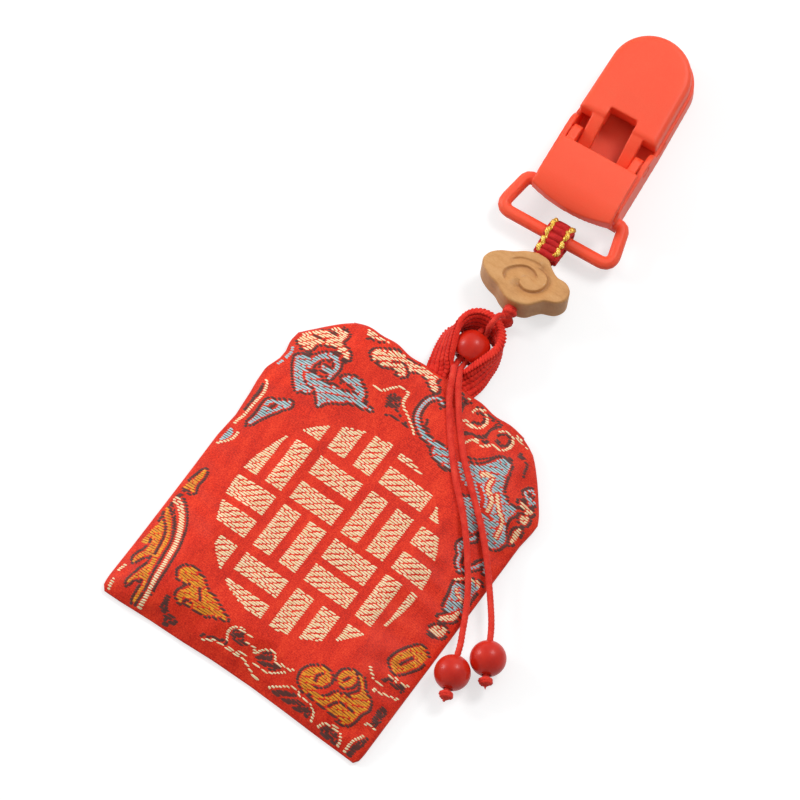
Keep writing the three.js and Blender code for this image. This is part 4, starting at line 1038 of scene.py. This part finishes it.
def area_depth(x, y, outline):
    """How far inside an outline each place lies; negative outside it."""
    ring = smooth_line(np.vstack([outline, outline[:1]]), 4)
    found = np.full(x.shape, FAR_OUTSIDE)
    near = near_line(x, y, ring, 1)
    px, py = x[near][:, None], y[near][:, None]
    (x0, y0), (x1, y1) = ring[:-1].T, ring[1:].T
    rise = np.where(y1 == y0, 1, y1 - y0)
    crossed = ((y0 > py) != (y1 > py)) & (px < x0 + (py - y0) * (x1 - x0) / rise)
    inside = crossed.sum(axis=1) % 2 == 1
    line = even_line(ring, 0.3)
    gap = np.hypot(px - line[:, 0], py - line[:, 1]).min(axis=1)
    found[near] = np.where(inside, gap, -gap)
    return found


def stroke_depth(x, y, route, start, end):
    """How far inside a tapered stroke each place lies; negative outside it."""
    line = even_line(smooth_line(route, 6), 0.35)
    half = np.linspace(start, end, len(line)) / 2
    found = np.full(x.shape, FAR_OUTSIDE)
    near = near_line(x, y, line, 3)
    gap = np.hypot(x[near][:, None] - line[:, 0], y[near][:, None] - line[:, 1])
    found[near] = (half - gap).max(axis=1)
    return found


def roundel(x, y):
    """A round field of basket weave: true where its broad cream bars lie."""
    dx, dy = x - ROUNDEL[0], y - ROUNDEL[1]
    column, row = np.floor(dx / CELL), np.floor(dy / CELL)
    across, along = dx - column * CELL, dy - row * CELL
    upright = (column + row) % 2 == 0
    across, along = np.where(upright, across, along), np.where(upright, along, across)
    in_bar = (across % (CELL / 2) > BAR_GAP) & (along > BAR_GAP)
    return in_bar & (np.hypot(dx, dy) < ROUNDEL_RADIUS)


def pattern(x, y):
    """The colour number of the pattern at each place, 0 where the ground shows."""
    marks = []
    for colour, ringed, *outlines in SHAPES:
        for outline in outlines:
            marks.append((colour, ringed, area_depth(x, y, np.reshape(outline, (-1, 2)))))
    for colour, ringed, start, end, *routes in STROKES:
        for route in routes:
            marks.append((colour, ringed, stroke_depth(x, y, np.reshape(route, (-1, 2)), start, end)))
    found = np.zeros(x.shape, int)
    for _, ringed, depth in marks:
        if ringed:
            found[depth > -OUTLINE] = COLOURS.index("brown")
    for colour, _, depth in marks:
        found[depth > 0] = COLOURS.index(colour)
    return np.where(roundel(x, y), COLOURS.index("cream"), found)


# Pattern wefts: rows of floats, one PICK apart, with the length and width of a float in each colour
SAMPLE = 0.1
PICK = 0.53
FIRST_PICK = 0.5
LAST_PICK = 0.3
EDGE_CLEAR = 0.6
FLOAT_LENGTH = {"cream": 2.1, "brown": 3.0, "orange": 3.2, "blue": 3.6}
FLOAT_WIDTH = {"cream": 0.37, "brown": 0.55, "orange": 0.45, "blue": 0.4}
LEAST_SAMPLES = 4
LEAST_FLOAT = 0.95
LEAST_CUT = 0.7
FLOAT_GAP = 0.05
TWILL = 3
JITTER = 0.2
SLANT = 0.16
UNEVEN = 0.03

# Thin dark wefts between the picks of some colours, as painted shadow lines between the floats, where a
# float is long enough
SHADE_WIDTH = {"blue": 0.18, "orange": 0.07}
LEAST_SHADED = 1.2
SHADE_GAP = 0.2

# A float's height and width along it, and its places and crown across it
ARCH = np.array([-0.02, 0.13, 0.16, 0.13, -0.02])
TAPER = np.array([0.6, 1, 1, 1, 0.6])
ACROSS = np.array([-1, 0, 1])
CROWN = np.array([0.1, 1, 0.1])
FLOAT_SINK = 0.01


def floats(flip, rng):
    """Every float of the pattern: colour number, left end, right end, height, slant and width."""
    xs = np.arange(-POUCH_HALF + EDGE_CLEAR, POUCH_HALF + 1, SAMPLE)
    ys = np.arange(FOLD + FIRST_PICK, MOUTH - LAST_PICK, PICK)
    x, y = np.meshgrid(xs, ys)
    colours = pattern(flip * x, y)
    colours[(x < EDGE_CLEAR - reach(y, -1)) | (x > reach(y, 1) - EDGE_CLEAR)] = 0
    shade = COLOURS.index("brown")
    found = []
    for row, level in enumerate(ys):
        line = colours[row]
        ends = np.flatnonzero(np.diff(np.concatenate([[0], line, [0]])))
        for a, b in zip(ends[:-1], ends[1:]):
            if line[a] == 0 or b - a < LEAST_SAMPLES:
                continue
            colour = COLOURS[line[a]]
            reach_over = FLOAT_LENGTH[colour]
            short = max(0, LEAST_FLOAT - (xs[b - 1] - xs[a])) / 2
            left, right = xs[a] - short, xs[b - 1] + short
            shift = (row % TWILL) * reach_over / TWILL + rng.uniform(-JITTER, JITTER)
            cuts = np.arange(math.floor((left - shift) / reach_over) + 1, (right - shift) / reach_over)
            cuts = cuts * reach_over + shift
            stops = [left, *[c for c in cuts if left + LEAST_CUT < c < right - LEAST_CUT], right]
            for p, q in zip(stops[:-1], stops[1:]):
                slant = SLANT * math.sin(0.35 * p + 0.9 * level) + rng.normal(0, UNEVEN)
                height = level + rng.normal(0, UNEVEN)
                ends_at = (p + FLOAT_GAP, q - FLOAT_GAP)
                found.append((line[a], *ends_at, height, slant, FLOAT_WIDTH[colour]))
                # Painted shadow: a thin brown weft half a pick above the float
                if colour in SHADE_WIDTH and q - p > LEAST_SHADED:
                    ends_at = (p + SHADE_GAP, q - SHADE_GAP)
                    found.append((shade, *ends_at, height + PICK / 2, slant, SHADE_WIDTH[colour]))
    return np.array(found)


def on_grid(grid, normals, x, y):
    """Points and normals of a pouch face at places given in pouch millimetres."""
    v = np.clip((y - FOLD) / (MOUTH - FOLD), 0, 1) * (ROWS - 1)
    u = np.clip(x / np.where(x > 0, reach(y, 1), reach(y, -1)) * 0.5 + 0.5, 0, 1) * (COLUMNS - 1)
    i, j = np.minimum(v.astype(int), ROWS - 2), np.minimum(u.astype(int), COLUMNS - 2)
    s, t = (v - i)[..., None], (u - j)[..., None]

    def blend(field):
        near = field[i, j] * (1 - t) + field[i, j + 1] * t
        far = field[i + 1, j] * (1 - t) + field[i + 1, j + 1] * t
        return near * (1 - s) + far * s

    return blend(grid), unit(blend(normals))


def make_floats(side, grid, normals, flip, rng):
    """Raised threads in each colour, their ends dipping into the ground."""
    long, wide = len(ARCH), len(ACROSS)
    share = np.linspace(0, 1, long)
    rows = floats(flip, rng)
    for number, colour in enumerate(COLOURS):
        mine = rows[rows[:, 0] == number]
        if not len(mine):
            continue
        width = mine[:, 5, None, None]
        x = mine[:, 1, None] + (mine[:, 2] - mine[:, 1])[:, None] * share
        y = mine[:, 3, None] + mine[:, 4, None] * (share - 0.5)
        x = np.repeat(x[:, :, None], wide, axis=2)
        y = y[:, :, None] + 0.5 * width * TAPER[None, :, None] * ACROSS
        lift = np.broadcast_to(ARCH[None, :, None] * CROWN - FLOAT_SINK, x.shape)
        points, out = on_grid(grid, normals, x, np.clip(y, FOLD, MOUTH))
        points = points + lift[..., None] * out
        faces = []
        for k in range(len(mine)):
            faces.extend(grid_faces(long, wide, start=long * wide * k))
        shape = (points.reshape(-1, 3), turned(faces) if flip < 0 else faces)
        piece(f"weft_{colour}_{side}", shape, THREADS[colour], "pouch")


LINING_ROWS = 30
LINING_COLUMNS = 31
LINING_INSET = 7
LINING_MARGIN = 0.4
LINING_FRONT = 0.5
LINING_BACK = 1.3


def make_lining():
    """The interlining: one thin strip, folded like the brocade and inside it."""
    down = np.linspace(MOUTH - LINING_MARGIN, FOLD + LINING_INSET, LINING_ROWS)
    rows = []
    for y, in_front in [(y, True) for y in down] + [(y, False) for y in down[::-1]]:
        x = np.linspace(-1, 1, LINING_COLUMNS) * (reach(y, -1) - LINING_INSET)
        z = np.full_like(x, LINING_BACK)
        if in_front:
            z = LINING_FRONT + (TOP - RIM) * swell(reach(y, -1) - np.abs(x)) * swell(y - FOLD)
        rows.append(np.stack([x, np.full_like(x, y), z], axis=1))
    shape = (np.vstack(rows), grid_faces(len(rows), LINING_COLUMNS))
    lining = piece("lining", shape, LINING, "pouch", ["lining_front", "lining_back"])


front = front_grid()
front = settle(front)
back = back_grid()
make_pouch(front, back)
make_floats("front", front, smooth_field(front), 1, chance)
make_floats("back", back, -smooth_field(back), -1, chance)
make_lining()
dress("amulet_slip", PAPER)


# Tape: a flat braid. Each station gives x, distance from the mouth, height, lean and width.

TAPE_ROUTE = (
    (-2.8, -12.5, 2.7, 0, TAPE_WIDTH), (-2.8, -6, 2.7, 0, TAPE_WIDTH), (-2.7, -1.2, 2.7, 0, TAPE_WIDTH),
    (-2.7, 1.2, 2.9, 10, TAPE_WIDTH), (-3.8, 3.8, 3.75, 42, 6.8), (-4.85, 7, 4.2, 55, 7.2),
    (-5.5, 10.2, 4.2, 66, 7.4), (-5.1, 12.7, 4.15, 90, 7.5), (-3.85, 14.6, 4.15, 106, 7.5),
    (-2.3, 15.6, 4.15, 113, 7.6), (-0.4, 15.95, 4.15, 115, 7.7), (1.95, 15.45, 4.15, 113, 7.6),
    (3.85, 14.3, 4.15, 104, 7.5), (5, 12.9, 4.15, 93, 7.5), (5.4, 10.3, 4.15, 80, 7.4),
    (5.1, 7.4, 4.1, 66, 7.2), (4.5, 4, 3.65, 42, 6.8), (3.6, 1.2, 2.8, 8, TAPE_WIDTH),
    (3.9, -1.2, 2.7, 0, TAPE_WIDTH), (4.1, -6, 2.7, 0, TAPE_WIDTH), (4.1, -12.5, 2.7, 0, TAPE_WIDTH),
)

# The upper half of a band's section, as shares of its width and thickness
BAND_TOP = ((-0.5, 0), (-0.47, 0.35), (-0.4, 0.5), (0.4, 0.5), (0.47, 0.35), (0.5, 0))
BAND_STEP = 0.5


class Strip:
    """A flat band along a line: where a place on it lies and which way it faces."""

    def __init__(self, centre, side, out, width):
        self.centre, self.side, self.out, self.width = centre, side, out, width
        self.run = lengths_along(centre)
        self.along = unit(np.gradient(centre, axis=0))

    def at(self, run):
        """Middle, three directions and width at each distance along the band."""
        pick = lambda field: np.stack([np.interp(run, self.run, field[:, i]) for i in range(3)], axis=-1)
        side, out, along = (unit(pick(field)) for field in (self.side, self.out, self.along))
        return pick(self.centre), side, out, along, np.interp(run, self.run, self.width)


def tape_strip():
    """The tape's loop as a strip that leans as its stations say."""
    stations = np.array(TAPE_ROUTE, float)
    rough = smooth_line(from_mouth(stations[:, :3]))
    line = even_line(rough, 0.25)
    run, rough_run = lengths_along(line), lengths_along(rough)
    share = np.linspace(0, len(stations) - 1, len(rough))
    spread = lambda values: np.interp(run, rough_run, np.interp(share, np.arange(len(stations)), values))
    lean = np.radians(spread(stations[:, 3]))[:, None]
    width = spread(stations[:, 4])
    along = unit(np.gradient(line, axis=0) * (1, 1, 0))
    inward = np.stack([along[:, 1], -along[:, 0], np.zeros(len(line))], axis=1)
    up = np.array([0, 0, 1.0])
    side = inward * np.cos(lean) + up * np.sin(lean)
    out = -inward * np.sin(lean) + up * np.cos(lean)
    return Strip(line, side, out, width)


def stitches(places, axes, ups, size, rows=5):
    """Small plump stitches: pods at these places, along these axes, flattened along ups."""
    sides = 8
    share = np.linspace(0, 1, rows)
    level = np.cos(math.pi * (1 - share))
    fat = np.sqrt(np.clip(1 - (0.94 * level) ** 2, 0, 1))
    angles = angles_round(sides)
    axes = unit(axes)
    ups = unit(ups - np.sum(ups * axes, axis=1, keepdims=True) * axes)
    sideways = np.cross(axes, ups)
    long, wide, thick = size
    local = np.stack(
        [
            np.repeat(level, sides) * long / 2,
            np.outer(fat, np.cos(angles)).ravel() * wide / 2,
            np.outer(fat, np.sin(angles)).ravel() * thick / 2,
        ],
        axis=1,
    )
    points = (
        places[:, None]
        + local[None, :, :1] * axes[:, None]
        + local[None, :, 1:2] * sideways[:, None]
        + local[None, :, 2:] * ups[:, None]
    )
    faces = []
    for k in range(len(places)):
        faces.extend(tube_faces(rows, sides, start=k * rows * sides))
    return points.reshape(-1, 3), faces


def band(strip, width, thickness):
    """The plain core of a strip, with rounded edges."""
    run = np.linspace(0, strip.run[-1], int(strip.run[-1] / BAND_STEP) + 1)
    centre, side, out, _, full = strip.at(run)
    outline = [*BAND_TOP, *((w, -h) for w, h in BAND_TOP[-2:0:-1])]
    rows = [centre + side * (w * width * full)[:, None] + out * (h * thickness) for w, h in outline]
    return np.stack(rows, axis=1).reshape(-1, 3), tube_faces(len(run), len(outline))


# Columns of stitches: the place across the tape, the slant and the pitch
TAPE_COLUMNS = ((-0.27, 34, 0.8), (-0.09, -14, 1.0), (0.09, 14, 1.0), (0.27, -34, 0.8))
STITCH_OVERLAP = 1.8
STITCH_WIDTH = 1.3
STITCH_HEIGHT = 0.56
STITCH_SINK = 0.3
EDGE_PITCH = 0.66
EDGE_INSET = 0.55
EDGE_SLANT = 0.9
EDGE_STITCH = (2.1, 0.9, 0.9)
CORE_SHARE = 0.86
CORE_THINNER = 0.8


def make_tape():
    """Chained columns on both faces of the tape, between two corded edges."""
    strip = tape_strip()
    total = strip.run[-1]
    parts = []
    for face in (1, -1):
        for place, slant, pitch in TAPE_COLUMNS:
            run = np.arange(0.6, total - 0.5, pitch)
            centre, side, out, along, width = strip.at(run)
            turn = math.radians(slant) * face
            axis = along * math.cos(turn) + side * math.sin(turn)
            above = out * face * (TAPE_THICKNESS / 2 - STITCH_SINK)
            middle = centre + side * (place * width)[:, None] + above
            size = (STITCH_OVERLAP * pitch, STITCH_WIDTH, STITCH_HEIGHT)
            parts.append(stitches(middle, axis, out * face, size))
    for edge in (-1, 1):
        run = np.arange(0.5, total - 0.4, EDGE_PITCH)
        centre, side, out, along, width = strip.at(run)
        middle = centre + side * (edge * (width / 2 - EDGE_INSET))[:, None]
        parts.append(stitches(middle, out + EDGE_SLANT * along, side * edge, EDGE_STITCH, rows=7))
    piece("tape_braid", joined(parts), TAPE, "pouch", ["loop_tape"])
    core = band(strip, CORE_SHARE, TAPE_THICKNESS - CORE_THINNER)
    piece("tape_inside", core, TAPE_CORE, "pouch")


make_tape()


# Cloud bead: carved wood on the hanger cord, in the hanger's own axes

CLOUD_CENTRE = np.array([-0.6, -13.2])
CLOUD_HALF = 3.6
CLOUD_EDGE = 0.55
CLOUD_DOME = 0.15
# Painted shade: how much the carved lines, the hollows and the side wall are darkened
LINE_SHADE = 0.55
HOLLOW_SHADE = 0.18
SIDE_SHADE = 0.22
CUT_FADE = 7
CLOUD_OUTLINE = (
    (-1.1, -6.85), (1.6, -7.2), (3.5, -8.75), (5.4, -9.85), (7.6, -10.1), (9.2, -11.3), (9.6, -13.4),
    (8.4, -15.3), (5.6, -16.5), (4.4, -17.7), (3, -19.2), (0.8, -19.95), (-1.6, -20.05), (-3.5, -19.25),
    (-5.1, -18.2), (-7.6, -17.3), (-9.8, -15.9), (-10.85, -14.2), (-10.4, -12.4), (-8.7, -10.7),
    (-6.1, -9.4), (-3.5, -7.7),
)

# Carving: depth, how far the hollow runs out, which side of the line is low, and the line.
CLOUD_CUTS = (
    (0.34, 1.0, -1, ((-5.8, -11.7), (-3.8, -10.05), (-1, -9.35), (1.9, -9.5), (4, -10.4))),
    (0.6, 1.9, -1, ((-3.7, -16.6), (-5.1, -15.4), (-5.15, -14.1), (-3.6, -12.2), (-1.7, -11.2), (0, -11.3),
                    (1.35, -12.2), (1.75, -13.2))),
    (0.75, 1.3, -1, ((-1.45, -14.7), (-1.05, -15.7), (0.5, -16.35), (2.6, -15.75), (3.9, -14.25),
                     (4.15, -12.3), (3.4, -10.95), (1.9, -10.25), (0.4, -10.3))),
    (0.3, 0.7, 1, ((-1.45, -14.7), (-1, -13.7), (0.1, -13.2), (1.2, -13.5), (1.8, -14.2))),
)


def carving(x, y, lip=0.17, spread=1.0):
    """How deep the carving goes at each place: a step down from a line that runs out slowly."""
    depth = np.zeros(x.shape)
    for deep, run_out, low_side, route in CLOUD_CUTS:
        line = even_line(smooth_line(np.asarray(route, float), 8), 0.2)
        along = unit(np.gradient(line, axis=0))
        fade = np.clip(np.minimum(np.arange(len(line)), np.arange(len(line))[::-1]) / CUT_FADE, 0, 1)
        dx, dy = x[..., None] - line[:, 0], y[..., None] - line[:, 1]
        gap = np.hypot(dx, dy)
        near = gap.argmin(axis=-1)
        gap = gap.min(axis=-1)
        pick = lambda field: np.take_along_axis(field, near[..., None], axis=-1)[..., 0]
        left = along[near, 0] * pick(dy) - along[near, 1] * pick(dx)
        width = np.where(left * low_side > 0, spread * run_out, lip)
        depth = np.maximum(depth, deep * fade[near] * np.exp(-((gap / width) ** 2)))
    return depth


def make_cloud():
    """Two carved faces and a plain side wall, with painted shade that darkens the carved lines, the hollows
    and the side wall.
    """
    spokes, rings = 260, 64
    loop = smooth_line(np.vstack([CLOUD_OUTLINE, CLOUD_OUTLINE[0]]), 12) - CLOUD_CENTRE
    bearing = np.unwrap(np.arctan2(loop[:, 1], loop[:, 0]))
    if bearing[-1] < bearing[0]:
        bearing, loop = bearing[::-1], loop[::-1]
    angles = bearing[0] + angles_round(spokes)
    radius = np.interp(angles, bearing, np.hypot(loop[:, 0], loop[:, 1]))
    near_edge = 1 - 0.06 * np.cos(np.linspace(0.2, 0.5, 7) * math.pi)
    inside = np.concatenate([np.linspace(0.02, 0.94, rings), near_edge])
    away = inside[:, None] * radius
    x = CLOUD_CENTRE[0] + away * np.cos(angles)
    y = CLOUD_CENTRE[1] + away * np.sin(angles)
    turn = CLOUD_EDGE - np.clip(radius - away, 0, CLOUD_EDGE)
    fall = CLOUD_EDGE - np.sqrt(np.maximum(CLOUD_EDGE**2 - turn**2, 0))
    cut = carving(x, y)
    z = CLOUD_HALF - fall - CLOUD_DOME * (away / radius) ** 2 - cut
    # Painted shade: thin dark lines along the carved steps, and darker hollows
    lines = carving(x, y, lip=0.12, spread=0.18)
    painted_shade = np.clip(LINE_SHADE * lines + HOLLOW_SHADE * cut, 0, 1)
    top, bottom = np.stack([x, y, z], axis=2), np.stack([x, y, -z], axis=2)
    levels = np.linspace(0.8, -0.8, 9) * (CLOUD_HALF - CLOUD_EDGE)
    side = [top[-1] * (1, 1, 0) + (0, 0, level) for level in levels]
    rows = [*top, *side, *bottom[::-1]]
    shape = (on_hanger(np.vstack(rows)), turned(tube_faces(len(rows), spokes)))
    bead = piece("cloud_carving", shape, WOOD, "cloud", ["cloud_bead"])
    # The painted shade reaches the wood through the cut attribute; the side wall is shaded evenly.
    shade_layer = bead.data.attributes.new("cut", "FLOAT", "POINT")
    side_shade = np.full((len(side), spokes), SIDE_SHADE)
    shade_layer.data.foreach_set("value", np.vstack([painted_shade, side_shade, painted_shade[::-1]]).ravel())


make_cloud()
dress("hanger_cord", CORD)


# Tab: knotted bars between gilt edges, folded round the clip's bar

TAB_RADIUS = 2.6
TAB_END = -6.0
TAB_HALF_GAP = 0.75
TAB_WIDTH = 5.6
TAB_PITCH = 1.42
TAB_CORE_SHARE = 0.8
TAB_CORE = 0.9
GILT_PITCH = 2.0
GILT_PLIES = 3
GILT_RADIUS = 0.31
GILT_TWIST = 0.3
GILT_TURNS = 1.3
GILT_ASIDE = 1.62
GILT_ABOVE = 0.3
BAR_HALF = 1.95
BAR_RADIUS = 0.8
BAR_SLANT = 0.14
BAR_BOW = 0.3
EDGE_CORD_AT = 2.4
EDGE_CORD_RADIUS = 0.55


def braided_bar(line, thick):
    """One bar of a knot: a short plump piece of laid cord."""
    fine = even_line(np.asarray(line, float), 0.16)
    share = np.linspace(0, 1, len(fine))
    radii = np.interp(share, np.linspace(0, 1, len(thick)), thick)[:, None]
    angles = angles_round(16)
    lay = 1 - 0.1 * np.abs(np.sin(1.5 * angles[None, :] + 5 * share[:, None]))
    return tube(fine, radii * lay, len(angles))


def tab_strip():
    """The tab as a strip round the bar, its two ends close together."""
    turn = np.radians(np.linspace(140, -140, 57))
    arc = np.stack([TAB_RADIUS * np.cos(turn), TAB_RADIUS * np.sin(turn)], axis=1)
    upper = np.linspace((TAB_END, TAB_HALF_GAP), arc[0], 12, endpoint=False)
    lower = np.linspace(arc[-1], (TAB_END, -TAB_HALF_GAP), 12)[1:]
    profile = even_line(np.vstack([upper, arc, lower]), 0.2)
    line = np.stack([np.zeros(len(profile)), profile[:, 0], profile[:, 1]], axis=1)
    along = unit(np.gradient(line, axis=0))
    side = np.broadcast_to([1.0, 0, 0], line.shape)
    out = np.cross(side, along)
    swung = lambda vectors: vectors @ HANGER_TURN.T
    return Strip(on_hanger(line), swung(side), swung(out), np.full(len(line), TAB_WIDTH))


def make_tab():
    """Plump bars of square knots with a gilt twist tucked in at each side."""
    strip = tab_strip()
    total = strip.run[-1]
    bars, gilt = [], {-1: [], 1: []}
    share = np.linspace(-1, 1, 17)
    for k, run in enumerate(np.arange(0.8, total - 0.6, TAB_PITCH)):
        where = run + BAR_SLANT * share * (1 if k % 2 else -1)
        centre, side, out, _, _ = strip.at(np.clip(where, 0, total))
        bow = BAR_BOW * np.cos(share * math.pi / 2) + 0.05
        line = centre + side * (share * BAR_HALF)[:, None] + out * bow[:, None]
        thick = BAR_RADIUS * np.sqrt(np.clip(1 - (0.93 * share) ** 6, 0.1, 1))
        bars.append(braided_bar(line, thick))
    for sign in (-1, 1):
        for start in np.arange(0.5 + 0.5 * (sign > 0), total - 2.1, GILT_PITCH):
            step = np.linspace(0, 1, 25)
            centre, side, out, _, _ = strip.at(start + 0.1 + (GILT_PITCH + 0.1) * step)
            bulge = np.sin(math.pi * step)
            aside, above = sign * (GILT_ASIDE + 0.6 * bulge), GILT_ABOVE + 0.4 * bulge
            line = centre + side * aside[:, None] + out * above[:, None]
            for ply in range(GILT_PLIES):
                twist = 2 * math.pi * (GILT_TURNS * step + ply / GILT_PLIES)
                around = GILT_TWIST * (np.cos(twist)[:, None] * side + np.sin(twist)[:, None] * out)
                gilt[sign].append(tube(line + around, GILT_RADIUS * (0.5 + 0.5 * bulge), 8))
        centre, side, out, _, _ = strip.at(np.linspace(0.3, total - 0.3, 220))
        line = centre + side * (sign * EDGE_CORD_AT) - out * 0.1
        bars.append(braided(line, EDGE_CORD_RADIUS, plaits=2, pitch=1.4, sides=12))
    piece("tab_knots", joined(bars), TAB, "hanger", ["tab_band"])
    piece("tab_inside", band(strip, TAB_CORE_SHARE, TAB_CORE), TAPE_CORE, "hanger")
    for sign, name in ((-1, "left"), (1, "right")):
        piece("gilt_" + name, joined(gilt[sign]), GOLD, "hanger", ["tab_gold_" + name])


make_tab()


# Clip: the moulded solids, with their edges softened as a mould leaves them

CLIP_GRAIN = 0.24

for name in ("clip_base", "clip_front_jaw", "clip_lever"):
    node = dress(name, PLASTIC)
    remesh = node.modifiers.new("skin", "REMESH")
    remesh.mode = "VOXEL"
    remesh.voxel_size = CLIP_GRAIN * MM
    remesh.use_smooth_shade = True
    soften = node.modifiers.new("soften", "SMOOTH")
    soften.factor = 0.5
    soften.iterations = 3


# Floor, light and background

FLOOR_HALF = 3.0
FLOOR_DROP = 0.2
FLOOR_GLOW = 0.62

# The light of the sky from below and from above in the picture
SKY_LOW = 0.12
SKY_HIGH = 0.74

# Lamps: their direction to the right, up and towards the viewer in the picture
LAMPS = {"lamp_left": (-0.784, 0.523, 0.335), "lamp_right": (0.474, 0.583, 0.66)}
LAMP_POWER = 3.9
LAMP_SIZE = 0.3
LAMPS_AIM = Vector((0.006, 0.03, 0))


def seen_strength(nodes, low, high):
    """High for the rays that see the background; low, a number or a socket, for the light itself."""
    path = nodes.node("ShaderNodeLightPath")
    rays = path.outputs["Is Camera Ray"]
    for other in ("Is Glossy Ray", "Is Transmission Ray"):
        rays = nodes.math("MAXIMUM", rays, path.outputs[other])
    inputs = {"Value": rays, "To Min": low, "To Max": high}
    return nodes.node("ShaderNodeMapRange", inputs).outputs["Result"]


def make_floor():
    """A pale sheet, seen as nearly white, that keeps a faint shadow."""
    mesh = bpy.data.meshes.new("floor")
    corners = [(x * FLOOR_HALF, y * FLOOR_HALF, 0) for x, y in ((-1, -1), (1, -1), (1, 1), (-1, 1))]
    mesh.from_pydata(corners, [], [(0, 1, 2, 3)])
    floor = bpy.data.objects.new("floor", mesh)
    floor.location.z = -FLOOR_DROP * MM
    scene.collection.objects.link(floor)
    look = Look("pale_floor", Specular_IOR_Level=0.1, Roughness=0.9)
    look.shader.inputs["Emission Color"].default_value = (1, 1, 1, 1)
    glow = seen_strength(look, 0.0, FLOOR_GLOW)
    look.tree.links.new(glow, look.shader.inputs["Emission Strength"])
    grain = look.noise(40, 2)
    look.colour(look.ramp(grain, (0.3, (180, 180, 180)), (0.7, (184, 184, 184))))
    mesh.materials.append(look.material)


def make_light():
    """A white background whose light comes mostly from the picture's upper side, and two lamps."""
    scene.world = bpy.data.worlds.new("studio")
    nodes = Nodes(scene.world)
    place = nodes.node("ShaderNodeTexCoord").outputs["Generated"]
    height = nodes.node("ShaderNodeVectorMath", {0: place, 1: SCREEN_UP}, operation="DOT_PRODUCT")
    inputs = {"Value": height.outputs["Value"], "From Min": -1, "From Max": 1}
    inputs.update({"To Min": SKY_LOW, "To Max": SKY_HIGH})
    sky = nodes.node("ShaderNodeMapRange", inputs).outputs["Result"]
    background = nodes.tree.nodes["Background"]
    background.inputs["Color"].default_value = (1, 1, 1, 1)
    nodes.tree.links.new(seen_strength(nodes, sky, 1.0), background.inputs["Strength"])
    for name, (right, up, near) in LAMPS.items():
        toward = (right * SCREEN_RIGHT + up * SCREEN_UP + near * SCREEN_BACK).normalized()
        lamp = bpy.data.objects.new(name, bpy.data.lights.new(name, "AREA"))
        lamp.data.energy = LAMP_POWER
        lamp.data.size = LAMP_SIZE
        lamp.location = LAMPS_AIM + toward
        lamp.rotation_euler = toward.to_track_quat("Z", "Y").to_euler()
        scene.collection.objects.link(lamp)


make_floor()
make_light()
bpy.context.view_layer.update()
